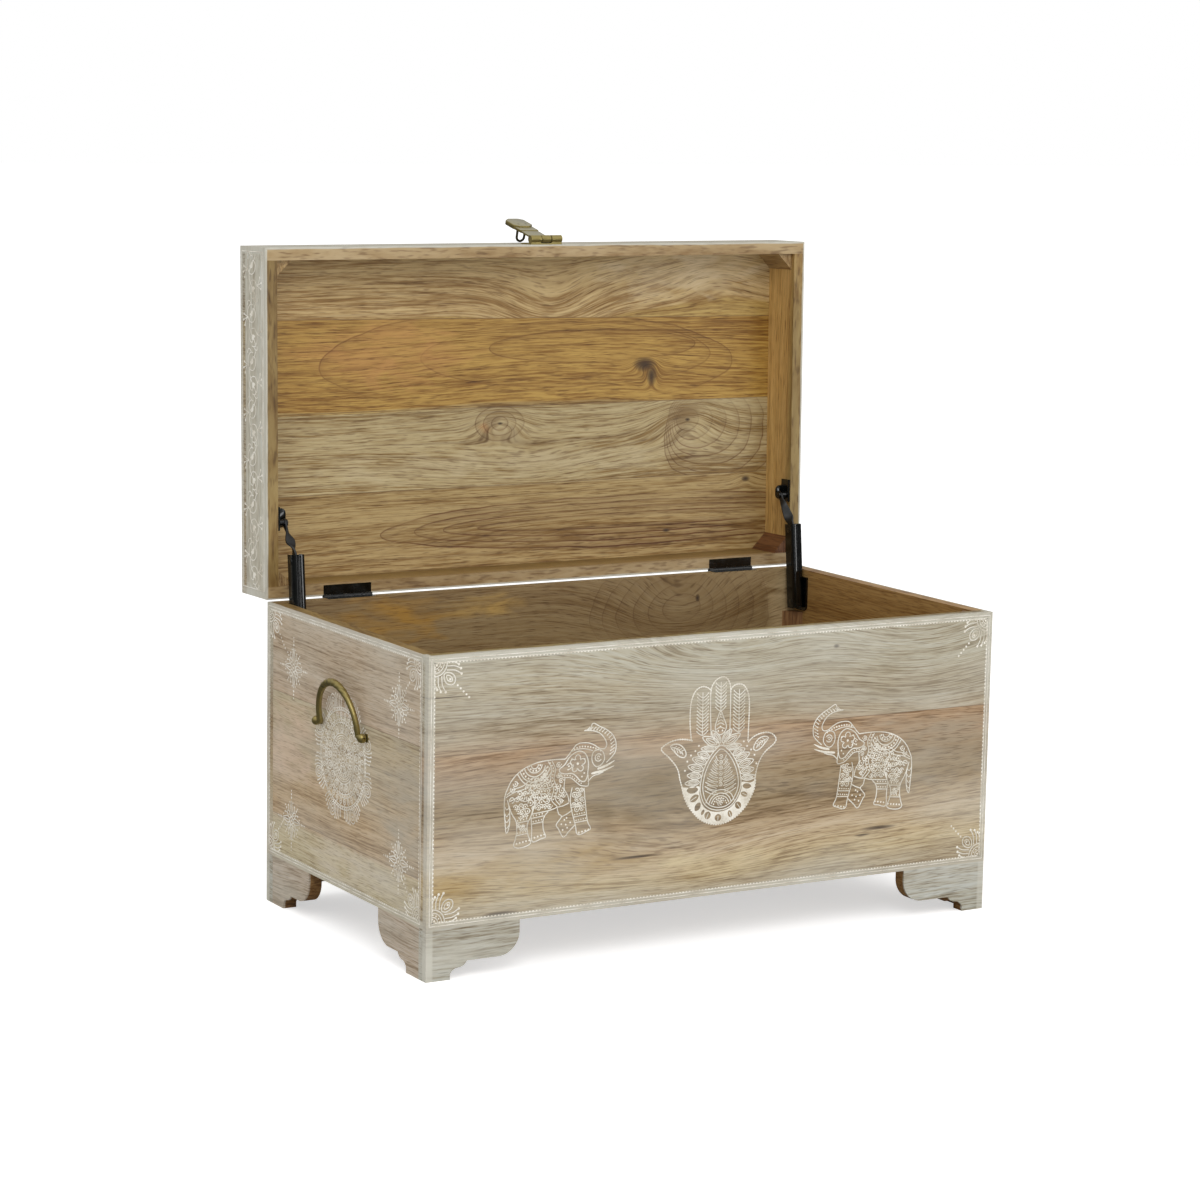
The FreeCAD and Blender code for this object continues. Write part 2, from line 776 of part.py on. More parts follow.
def make_arm(side, word):
    """Channel arm, open to the back, with the knee rivet across its far end."""
    name = f"stay_{word}_arm"
    half = dim.channel_wide / 2
    deep = dim.channel_deep / 2
    high = arm_long + dim.channel_end
    inner = half - dim.channel_wall
    shell = cut(
        f"{name}_shell",
        box(f"{name}_bar", (-half, half), (-deep, deep), (-dim.channel_end, high)),
        [
            box(
                f"{name}_hollow",
                (-inner, inner),
                (dim.channel_wall - deep, deep + dim.overrun),
                (-dim.channel_end - dim.overrun, high + dim.overrun),
            )
        ],
    )
    rivet = rod(f"{name}_rivet", dim.stay_pivot, -half, 0, arm_long, dim.channel_wide, "x")
    head = dim.stay_pivot_head_thick
    heads = [
        rod(f"{name}_rivet_head_{number}", dim.stay_pivot_head, x, 0, arm_long, head, "x")
        for number, x in enumerate((-half - head, half))
    ]
    hole = rod(
        f"{name}_hole",
        dim.stay_pivot + dim.pin_fit,
        -half - dim.overrun,
        0,
        0,
        dim.channel_wide + 2 * dim.overrun,
        "x",
    )
    arm = cut(f"{name}_solid", fuse(f"{name}_blank", [shell, rivet] + heads), [hole])
    place(arm, side * stay_x, stay_y, stay_z, TIP_BACK, arm_lean)
    keep(arm, name)


def make_link(side, word):
    """Flat waisted link from the lid's stud down to the knee."""
    name = f"stay_{word}_link"
    upper = -WAIST_SHARES[0] * link_long
    lower = -WAIST_SHARES[1] * link_long
    eye = dim.link_eye
    waist = dim.link_waist
    half_outline = [(eye, as_size(0)), (waist, upper), (waist, lower), (eye, -link_long)]
    corners = half_outline + [(-across, up) for across, up in reversed(half_outline)]
    plate = outline(f"{name}_plate", "YZ_Plane", corners, dim.link_thick)
    start = -dim.link_thick / 2
    eyes = [
        rod(f"{name}_eye_{number}", eye, start, 0, z, dim.link_thick, "x")
        for number, z in enumerate((0, -link_long))
    ]
    holes = [
        rod(f"{name}_hole_{number}", radius, start - dim.overrun, 0, z, dim.link_thick + 2 * dim.overrun, "x")
        for number, (z, radius) in enumerate(
            ((0, dim.stay_pivot + dim.pin_fit), (-link_long, dim.stay_pivot + dim.knee_play))
        )
    ]
    link = cut(f"{name}_solid", fuse(f"{name}_blank", [plate] + eyes), holes)
    y = -dim.stay_along
    z = dim.stay_in
    place(
        link,
        side * stay_x,
        hinge_y + y * open_cosine + z * open_sine,
        hinge_z - y * open_sine + z * open_cosine,
        TIP_BACK,
        link_lean,
    )
    keep(link, name)


def make_stays(body_screws, lid_screws):
    for side, word in ((-1, "left"), (1, "right")):
        make_body_bracket(side, word, body_screws[side])
        make_arm(side, word)
        make_link(side, word)
        make_lid_bracket(side, word, lid_screws[side])
    keep(group("stay_body_screw_group", body_screws[-1] + body_screws[1]), "stay_body_screws")
    screws = group("stay_lid_screw_group", lid_screws[-1] + lid_screws[1])
    place_on_lid(screws)
    keep(screws, "stay_lid_screws")


def handle_stems(side):
    """The two threaded stems of a handle, through the end panel and its nuts."""
    long = dim.board + dim.handle_nut_thick
    return [
        bar(
            f"handle_stem_{side + 1}_{end + 1}",
            dim.handle_stem,
            side * half_width,
            end * dim.handle_span / 2,
            dim.handle_height,
            long,
            -side,
        )
        for end in (-1, 1)
    ]


def make_posts(side, word, stems):
    """Two ball posts with a round rose against the panel, bored across for the bail's pins."""
    name = f"handle_{word}_posts"
    posts = []
    for end, stem in zip((-1, 1), stems):
        y = end * dim.handle_span / 2
        z = dim.handle_height
        x = side * half_width
        part = f"{name}_{end + 1}"
        rose = bar(f"{part}_rose", dim.handle_rose, x, y, z, dim.handle_rose_thick, side)
        neck = bar(f"{part}_neck", dim.handle_neck, x, y, z, dim.handle_stand, side)
        knob = ball(f"{part}_ball", dim.handle_ball, x + side * dim.handle_stand, y, z)
        bore = rod(
            f"{part}_bore",
            dim.bail_pin + dim.pin_fit,
            x + side * dim.handle_stand,
            y - dim.handle_ball - dim.overrun,
            z,
            2 * (dim.handle_ball + dim.overrun),
            "y",
        )
        posts.append(cut(f"{part}_solid", fuse(f"{part}_blank", [rose, neck, knob, stem]), [bore]))
    keep(group(f"{name}_group", posts), name)


def make_nuts(stems):
    nuts = []
    for side in (-1, 1):
        for end, stem in zip((-1, 1), stems[side]):
            y = end * dim.handle_span / 2
            blank = bar(
                f"handle_nut_blank_{side + 1}_{end + 1}",
                dim.handle_nut,
                side * inner_x,
                y,
                dim.handle_height,
                dim.handle_nut_thick,
                -side,
            )
            nuts.append(cut(f"handle_nut_{side + 1}_{end + 1}", blank, [stem]))
    keep(group("handle_nut_group", nuts), "handle_nuts")


def half_ring(name, ring, radius, sweep):
    """Part of a ring that stands up in the YZ plane, from the +Y side over the top."""
    thing = doc.addObject("Part::Torus", name)
    bind(thing, Radius1=ring, Radius2=radius, Angle3=sweep)
    thing.Placement = FreeCAD.Placement(FreeCAD.Vector(), FreeCAD.Rotation(FreeCAD.Vector(1, 1, 1), 120))
    return thing


def make_bail(side, word):
    """Arched bail: pins in the balls, short legs, a half-round arch and a thicker grip at its top."""
    name = f"handle_{word}_bail"
    arch = bail_arch
    parts = []
    for end in (-1, 1):
        tip = dim.handle_span / 2 + dim.handle_ball / 2
        pin_start = arch if end > 0 else -tip
        parts.append(rod(f"{name}_pin_{end + 1}", dim.bail_pin, 0, pin_start, 0, tip - arch, "y"))
        parts.append(ball(f"{name}_elbow_{end + 1}", dim.bail_rod, 0, end * arch, 0))
        parts.append(rod(f"{name}_leg_{end + 1}", dim.bail_rod, 0, end * arch, 0, dim.bail_leg, "z"))
    ring = half_ring(f"{name}_arch", arch, dim.bail_rod, as_size(180))
    place(ring, 0, 0, dim.bail_leg)
    grip = group(f"{name}_grip", [half_ring(f"{name}_grip_ring", arch, dim.bail_grip, dim.bail_grip_sweep)])
    place(grip, 0, 0, dim.bail_leg, AXES["x"], 90 - dim.bail_grip_sweep / 2)
    bail = fuse(f"{name}_solid", parts + [ring, grip])
    place(bail, side * (half_width + dim.handle_stand), 0, dim.handle_height, AXES["y"] * side, dim.bail_lean)
    keep(bail, name)


def make_handles(stems):
    for side, word in ((-1, "left"), (1, "right")):
        make_posts(side, word, stems[side])
        make_bail(side, word)
    make_nuts(stems)


def clasp_screw_pair():
    y = lid_front - dim.clasp_plate_thick
    z = clasp_z + dim.clasp_screw_up
    return [
        screw(f"clasp_screw_{side + 1}", side * dim.clasp_screw_apart / 2, y, z, "y", 1)
        for side in (-1, 1)
    ]


def clasp_knuckle(name, number, y, z):
    """One of the three knuckles of the clasp's barrel."""
    step = dim.clasp_long / CLASP_KNUCKLES
    start = number * step - dim.clasp_long / 2 + dim.knuckle_gap / 2
    return rod(name, dim.clasp_barrel, start, y, z, step - dim.knuckle_gap, "x")


def clasp_bore(name, y, z):
    long = dim.clasp_long + 2 * dim.overrun
    return rod(name, dim.clasp_pin + dim.pin_fit, -long / 2, y, z, long, "x")


def make_clasp_plate(screws):
    half = dim.clasp_long / 2
    face = lid_front - dim.clasp_plate_thick
    low = clasp_z - dim.clasp_plate_low
    parts = [box("clasp_plate_leaf", (-half, half), (face, lid_front), (low, clasp_z + dim.clasp_plate_high))]
    step = dim.clasp_long / CLASP_KNUCKLES
    for number in (0, 2):
        start = number * step - half + dim.knuckle_gap / 2
        parts.append(clasp_knuckle(f"clasp_plate_knuckle_{number}", number, clasp_y, clasp_z))
        parts.append(
            box(
                f"clasp_plate_tab_{number}",
                (start, start + step - dim.knuckle_gap),
                (face - dim.clasp_tab_bite, lid_front),
                (clasp_z - dim.clasp_tab_half, clasp_z + dim.clasp_tab_half),
            )
        )
    blank = fuse("clasp_plate_blank", parts)
    plate = cut("clasp_plate_solid", blank, [clasp_bore("clasp_plate_bore", clasp_y, clasp_z)] + screws)
    place_on_lid(plate)
    keep(plate, "clasp_plate")


def make_clasp_pin():
    long = dim.clasp_long - dim.knuckle_gap
    pin = rod("clasp_pin_solid", dim.clasp_pin, 0, 0, 0, long, "x")
    carrier = group("clasp_pin_group", [pin])
    place_on_lid(carrier, -long / 2, clasp_y, clasp_z)
    keep(carrier, "clasp_pin")


def make_shield():
    """Shield-shaped end plate of the strap, its outer edges bevelled."""
    half = dim.shield_wide / 2
    neck = dim.strap_wide / 2
    low = dim.strap_long - dim.shield_long
    half_outline = [
        (neck, low),
        (half, low + dim.shield_cut),
        (half, dim.strap_long - dim.shield_cut),
        (half - dim.shield_cut, dim.strap_long),
    ]
    corners = half_outline + [(-across, up) for across, up in reversed(half_outline)]
    shield = outline("strap_shield", "XZ_Plane", corners, dim.shield_thick)
    doc.recompute()
    front = shield.Tip.Shape.BoundBox.YMin
    bevel = soften(shield, "Chamfer", lambda edge: math.isclose(edge.YMax, front, abs_tol=dim.pin_fit.value))
    bind(bevel, Size=dim.shield_bevel)
    return shield


def make_loop():
    """Finger loop: two legs through the shield and a half ring that rests on the lid's face."""
    tilt = dim.strap_tilt
    face = (dim.clasp_stand + dim.loop_from_axis * sine(tilt)) / cosine(tilt)
    middle = face - dim.loop_gap - dim.loop_half - dim.loop_rod
    start = -dim.shield_thick / 2
    long = middle - start
    legs = [
        rod(f"loop_leg_{end + 1}", dim.loop_rod, end * dim.loop_half, start, dim.loop_from_axis, long, "y")
        for end in (-1, 1)
    ]
    bend = doc.addObject("Part::Torus", "loop_bend")
    bind(bend, Radius1=dim.loop_half, Radius2=dim.loop_rod, Angle3=180)
    place(bend, 0, middle, dim.loop_from_axis)
    return fuse("clasp_loop_solid", legs + [bend]), legs


def make_strap():
    """Hinged strap folded back over the plate: knuckle, tab, neck and shield, with its finger loop."""
    loop, legs = make_loop()
    step = dim.clasp_long / CLASP_KNUCKLES
    tab = (step - dim.knuckle_gap) / 2
    clear = dim.clasp_barrel + dim.leaf_clear
    half = dim.strap_thick / 2
    neck_end = dim.strap_long - dim.shield_long + dim.overrun
    parts = [
        clasp_knuckle("strap_knuckle", 1, 0, 0),
        box("strap_tab", (-tab, tab), (-half, half), (as_size(0), clear + dim.overrun)),
        box("strap_neck", (-dim.strap_wide / 2, dim.strap_wide / 2), (-half, half), (clear, neck_end)),
        make_shield(),
    ]
    strap = cut("clasp_strap_solid", fuse("strap_blank", parts), [clasp_bore("strap_bore", 0, 0)] + legs)
    for thing, label in ((strap, "clasp_strap"), (loop, "clasp_loop")):
        place_on_lid(thing, 0, clasp_y, clasp_z, dim.strap_tilt)
        keep(thing, label)


def make_clasp(screws):
    make_clasp_plate(screws)
    make_clasp_pin()
    make_strap()
    carrier = group("clasp_screw_group", screws)
    place_on_lid(carrier)
    keep(carrier, "clasp_screws")


body_hinge_screws = hinge_screws("body_hinge_screw", hinge_y, hinge_z, -1)
lid_hinge_screws = hinge_screws("lid_hinge_screw", as_size(0), as_size(0), 1)
stay_body_screws = {side: body_bracket_screws(side) for side in (-1, 1)}
stay_lid_screws = {side: lid_bracket_screws(side) for side in (-1, 1)}
handle_stem_pairs = {side: handle_stems(side) for side in (-1, 1)}
clasp_screws = clasp_screw_pair()

make_long_panels(body_hinge_screws)
make_side_panels(handle_stem_pairs, stay_body_screws)
make_bottom()
make_corner_blocks()
make_feet()
make_lid_boards(lid_hinge_screws, stay_lid_screws, clasp_screws)
make_lid_blocks()
make_hinges(body_hinge_screws, lid_hinge_screws)
make_stays(stay_body_screws, stay_lid_screws)
make_handles(handle_stem_pairs)
make_clasp(clasp_screws)
doc.recompute()

for thing in doc.Objects:
    if "Invalid" in thing.State or "Error" in thing.State:
        raise RuntimeError(f"{thing.Label} did not build: {thing.State}")
for piece in pieces:
    if piece.Shape.isNull() or not piece.Shape.isValid():
        raise RuntimeError(f"{piece.Label} has no valid shape")

os.makedirs("parts", exist_ok=True)
for piece in pieces:
    piece.Shape.exportStep(os.path.join("parts", f"{piece.Label}.step"))
    print(piece.Label, len(piece.Shape.Solids), round(piece.Shape.Volume))
print(len(pieces), "sub-parts")
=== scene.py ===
# %% [markdown]
# # A painted storage chest
# The chest is mango wood, washed pale grey outside and only oiled inside, and it stands open. The joinery and
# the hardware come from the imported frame, in metres. This lesson dresses that frame: wood and metal finishes
# first, then the painted line ornament, then pressed and cast hardware in place of some plain parts of the
# frame, and last the light and the camera.

# %% Load the frame
import json
import math
import random

import bpy
from mathutils import Matrix, Vector


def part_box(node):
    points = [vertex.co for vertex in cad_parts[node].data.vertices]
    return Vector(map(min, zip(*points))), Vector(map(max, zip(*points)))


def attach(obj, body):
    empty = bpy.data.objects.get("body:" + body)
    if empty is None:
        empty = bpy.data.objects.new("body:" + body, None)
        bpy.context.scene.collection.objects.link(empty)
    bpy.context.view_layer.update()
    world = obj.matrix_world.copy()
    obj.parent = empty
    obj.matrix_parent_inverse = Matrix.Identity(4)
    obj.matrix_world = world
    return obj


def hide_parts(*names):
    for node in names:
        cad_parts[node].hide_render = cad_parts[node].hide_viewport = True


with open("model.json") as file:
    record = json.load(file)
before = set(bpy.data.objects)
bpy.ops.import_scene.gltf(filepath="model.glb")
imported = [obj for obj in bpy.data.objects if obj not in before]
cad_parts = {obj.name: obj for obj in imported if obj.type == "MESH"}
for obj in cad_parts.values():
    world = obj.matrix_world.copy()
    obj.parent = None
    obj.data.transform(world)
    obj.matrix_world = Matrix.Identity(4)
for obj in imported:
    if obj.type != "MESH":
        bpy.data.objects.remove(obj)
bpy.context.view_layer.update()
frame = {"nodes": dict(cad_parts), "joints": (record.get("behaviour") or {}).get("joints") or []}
nodes = frame["nodes"]

# %% [markdown]
# ## Places that the finishes and the ornament share
# Every place below but the lid's height is read from the frame, so that paint and grain stay on its boards.
# The lid is drawn open. Its hinge line and its open angle let a finish be laid out as if the lid were shut.

# %% Shared places
front_low, front_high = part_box("front_panel")
HALF_WIDTH = front_high[0]
FRONT_Y = front_low[1]
BACK_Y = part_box("back_panel")[1][1]
MIDDLE_Y = (FRONT_Y + BACK_Y) / 2
HALF_DEPTH = (BACK_Y - FRONT_Y) / 2
BASE_Z = front_low[2]
RIM_Z = front_high[2]
hinge = next(joint for joint in frame["joints"] if joint["name"] == "lid_hinge")
HINGE = Vector(hinge["pos_m"])
OPEN_ANGLE = math.radians(hinge["range_deg"][1])
SHUT_TURN = Matrix.Rotation(OPEN_ANGLE, 3, "X")
SHUT_SHIFT = SHUT_TURN @ -HINGE
LID_FRONT = FRONT_Y - HINGE.y
LID_BACK = BACK_Y - HINGE.y
LID_TOP = 0.0775
print("front", round(FRONT_Y, 4), "rim", RIM_Z)
print("lid front", round(LID_FRONT, 4), "lid back", round(LID_BACK, 4))

# %% [markdown]
# ## One helper for shader nodes
# A finish is a small tree of nodes. One function adds a node, sets it up and links it, so that each step of
# a finish is one line. Colours are written as screen hex values and turned to linear light.


# %% Node and colour helpers
def linear(code):
    """Screen hex colour to linear light, with full alpha."""
    parts = [int(code[i:i + 2], 16) / 255 for i in (1, 3, 5)]
    return tuple(p / 12.92 if p <= 0.04045 else ((p + 0.055) / 1.055) ** 2.4 for p in parts) + (1.0,)


def add(tree, kind, inputs=None, stops=None, **settings):
    """Adds a node with its settings, colour stops, values and links, and gives back the node."""
    node = tree.nodes.new(f"ShaderNode{kind}")
    for name, value in settings.items():
        setattr(node, name, value)
    if stops:
        ramp = node.color_ramp
        while len(ramp.elements) < len(stops):
            ramp.elements.new(1.0)
        for element, (place, code) in zip(ramp.elements, stops):
            element.position = place
            element.color = linear(code)
    for key, value in (inputs or {}).items():
        socket = node.inputs[key] if isinstance(key, int) else next(
            s for s in node.inputs if s.name == key and s.enabled
        )
        if isinstance(value, bpy.types.Node):
            value = next(s for s in value.outputs if s.enabled)
        if isinstance(value, bpy.types.NodeSocket):
            tree.links.new(value, socket)
        else:
            socket.default_value = value
    return node


def finish_named(name):
    """A new material with an empty node tree."""
    material = bpy.data.materials.new(name)
    material.use_nodes = True
    material.node_tree.nodes.clear()
    return material, material.node_tree


def coat(names, material):
    """Gives the material to every slot of the named CAD nodes."""
    for name in names:
        slots = nodes[name].material_slots
        if not slots:
            nodes[name].data.materials.append(material)
        for place in slots:
            place.material = material
    print(material.name, "on", len(names), "nodes")


# %% [markdown]
# ## Mango wood, washed outside and oiled inside
# Mango is a middling brown wood with soft streaks, thin growth lines and short dark pores. The maker wiped a
# thin grey-beige wash over the outside and rubbed it back, so the grain shows through it. It lies thicker
# along the edges and on the feet, and stops a few millimetres past each outer edge. Inside, the wood is only
# oiled, and its planks differ in colour.
#
# A board has a direction u along the grain, v across it and w through it. The growth lines are level lines
# of one height field: v, bent by slow noise and by a bump at each knot, which closes the lines into ovals.
# Streaks, fibres and pores are noises stretched along u on that same field, so they flow round the knots.

# %% Noises of the grain
# Stretch along, across and through the grain, per metre: streaks are 5 to 20 mm wide, fibres 2 to 3 mm, and
# pores 1.3 mm, which is as fine as the picture can show.
FIGURE = {
    "bend": ((2.6, 7.0, 5.0), {"Detail": 2.0}),
    "streak": ((1.3, 50.0, 20.0), {"Detail": 4.0, "Roughness": 0.55}),
    "fibre": ((18.0, 460.0, 90.0), {"Detail": 3.0, "Roughness": 0.6}),
    "pore": ((50.0, 800.0, 300.0), {"Detail": 1.0}),
    "cloud": ((5.0, 15.0, 5.0), {"Detail": 3.0}),
    "marble": ((12.0, 42.0, 30.0), {"Detail": 5.0, "Distortion": 1.2}),
}


def figure(tree, kind, place):
    """One of the grain's noises at a place on its board."""
    stretch, settings = FIGURE[kind]
    stretched = add(tree, "VectorMath", {0: place, 1: stretch}, operation="MULTIPLY")
    return add(tree, "TexNoise", {"Vector": stretched, "Scale": 1.0, **settings}).outputs[0]


# %% [markdown]
# ### Planks, knots and single growth lines
# A panel is glued up from planks, whose joints may run a little askew, and each plank has its own tint. A
# knot lifts the height field, and it may have a dark eye. Where a plank shows single dark growth lines, they
# are drawn as ovals at a set place, each with a soft shade on its inner side.

# %% Planks
SEAM = 0.0006


def planks(tree, u, v, joints, tints):
    """Number of the plank at a place, whether a joint is there, and the plank's tint."""
    plank, seam = 0.0, 0.0
    for place, slope in joints:
        askew = add(tree, "Math", {0: u, 1: -slope, 2: -place}, operation="MULTIPLY_ADD")
        beyond = add(tree, "Math", {0: v, 1: askew}, operation="ADD")
        passed = add(tree, "Math", {0: beyond, 1: 0.0}, operation="GREATER_THAN")
        plank = add(tree, "Math", {0: passed, 1: plank}, operation="ADD")
        near = add(tree, "Math", {0: beyond, 1: 0.0, 2: SEAM}, operation="COMPARE")
        seam = add(tree, "Math", {0: near, 1: seam}, operation="MAXIMUM")
    share = add(tree, "Math", {0: plank, 1: float(len(tints))}, operation="DIVIDE")
    stops = [(i / len(tints), code) for i, code in enumerate(tints)]
    tint = add(tree, "ValToRGB", {"Fac": share}, stops=stops)
    tint.color_ramp.interpolation = "CONSTANT"
    return plank, seam, tint


# %% Knots
PLANK_APART = 3.0
SHRINK = math.exp(-1)


def from_oval(tree, seat, plank, u, v, long, wide):
    """Offset from an oval's middle in half axes, large on the other planks, and the square of its length."""
    away = add(tree, "VectorMath", {0: seat, 1: (u, v, plank)}, operation="SUBTRACT")
    away = add(tree, "VectorMath", {0: away, 1: (1 / long, 1 / wide, PLANK_APART)}, operation="MULTIPLY")
    return away, add(tree, "VectorMath", {0: away, 1: away}, operation="DOT_PRODUCT").outputs["Value"]


def knotted(tree, seat, bent, knots):
    """The height field with a bump at each knot, and how dark the knots' eyes are."""
    core = 0.0
    for *oval, rise, eye in knots:
        square = from_oval(tree, seat, *oval)[1]
        if rise:
            bump = add(tree, "Math", {0: SHRINK, 1: square}, operation="POWER")
            bent = add(tree, "Math", {0: bump, 1: rise, 2: bent}, operation="MULTIPLY_ADD")
        if eye:
            dark = add(tree, "MapRange", {"Value": square, "From Max": eye, "To Min": 0.9, "To Max": 0.0})
            core = add(tree, "Math", {0: dark, 1: core}, operation="MAXIMUM")
    return bent, core


# %% Single growth lines
LINE_FULL, LINE_GONE = 0.0002, 0.0016
SHADE_WITHIN, SHADE_BEYOND, SHADE = 0.012, 0.0014, 0.4


def drawn_lines(tree, seat, warp, wobble, ovals):
    """How dark the single growth lines are; a small oval is bent less than a large one."""
    contour = 0.0
    for plank, u, v, long, wide, strength in ovals:
        bent_by = add(tree, "VectorMath", {0: warp, "Scale": min(1.0, 7 * wide)}, operation="SCALE")
        loose = add(tree, "VectorMath", {0: seat, 1: bent_by}, operation="ADD")
        away, square = from_oval(tree, loose, plank, u, v, long, wide)
        slope = (2 / long, 2 / wide, 2 * PLANK_APART)
        steep = add(tree, "VectorMath", {0: away, 1: slope}, operation="MULTIPLY")
        steep = add(tree, "VectorMath", {0: steep}, operation="LENGTH").outputs["Value"]
        gap = add(tree, "Math", {0: square, 1: wobble}, operation="ADD")
        gap = add(tree, "Math", {0: gap, 1: steep}, operation="DIVIDE")
        most = SHADE * strength
        within = {"Value": gap, "From Min": -SHADE_WITHIN, "From Max": 0.0, "To Max": most}
        within = add(tree, "MapRange", within)
        beyond = add(tree, "MapRange", {"Value": gap, "From Max": SHADE_BEYOND, "To Max": most})
        shade = add(tree, "Math", {0: within, 1: beyond}, operation="SUBTRACT")
        gap = add(tree, "Math", {0: gap}, operation="ABSOLUTE")
        line = {"Value": gap, "From Min": LINE_FULL, "From Max": LINE_GONE, "To Min": strength, "To Max": 0.0}
        line = add(tree, "MapRange", line)
        line = add(tree, "Math", {0: line, 1: shade}, operation="MAXIMUM")
        contour = add(tree, "Math", {0: line, 1: contour}, operation="MAXIMUM")
    return contour


# %% [markdown]
# ### Where the wash lies
# The wash is on the chest's outer faces and laps a little over their edges, so it follows the depth below
# those faces. Along the edges, where the rag turned over, it is thicker.

# %% Depth below the outer faces
def outer_depth(tree, axes, lid, foot):
    """Depth below the outer faces, and the distance along them to the nearest outer edge."""
    middle = (LID_FRONT + LID_BACK) / 2 if lid else MIDDLE_Y
    sides = []
    for letter, centre, half in (("X", 0.0, HALF_WIDTH), ("Y", middle, HALF_DEPTH)):
        off = add(tree, "Math", {0: axes.outputs[letter], 1: centre}, operation="SUBTRACT")
        off = add(tree, "Math", {0: off}, operation="ABSOLUTE")
        sides.append(add(tree, "Math", {0: half, 1: off}, operation="SUBTRACT"))
    depth = add(tree, "Math", {0: sides[0], 1: sides[1]}, operation="MINIMUM")
    edge = add(tree, "Math", {0: sides[0], 1: sides[1]}, operation="MAXIMUM")
    base, roof = (0.0, LID_TOP) if lid else (BASE_Z, RIM_Z)
    below = add(tree, "Math", {0: roof, 1: axes.outputs["Z"]}, operation="SUBTRACT")
    above = add(tree, "Math", {0: axes.outputs["Z"], 1: base}, operation="SUBTRACT")
    if lid:
        depth = add(tree, "Math", {0: depth, 1: below}, operation="MINIMUM")
    if not foot:
        edge = add(tree, "Math", {0: edge, 1: below}, operation="MINIMUM")
        edge = add(tree, "Math", {0: edge, 1: above}, operation="MINIMUM")
    return depth, edge


# %% [markdown]
# ### The finish of a board
# Grain tones the colour zones of the wash and of the oil alike, and marks are laid over both: pores, growth
# lines, marbled patches, knots and plank joints. The depth then chooses between the two. The washed face is
# duller than the oiled one, and pores and fibres are felt as a fine relief.

# %% Mango wood
DRY_EDGE = 0.0012
BAND_FULL, BAND_GONE = 0.0075, 0.01
SLICE_APART = 0.37
TONE_MIDDLE, TONE_SPREAD = 1.25, 0.31
WASH_SHADES = [(0.0, "#B5A58E"), (0.5, "#EFE8DD"), (1.0, "#FFFFFF")]
OIL_SHADES = [(0.0, "#BBA37C"), (0.5, "#EDE3D2"), (1.0, "#FFFBF4")]


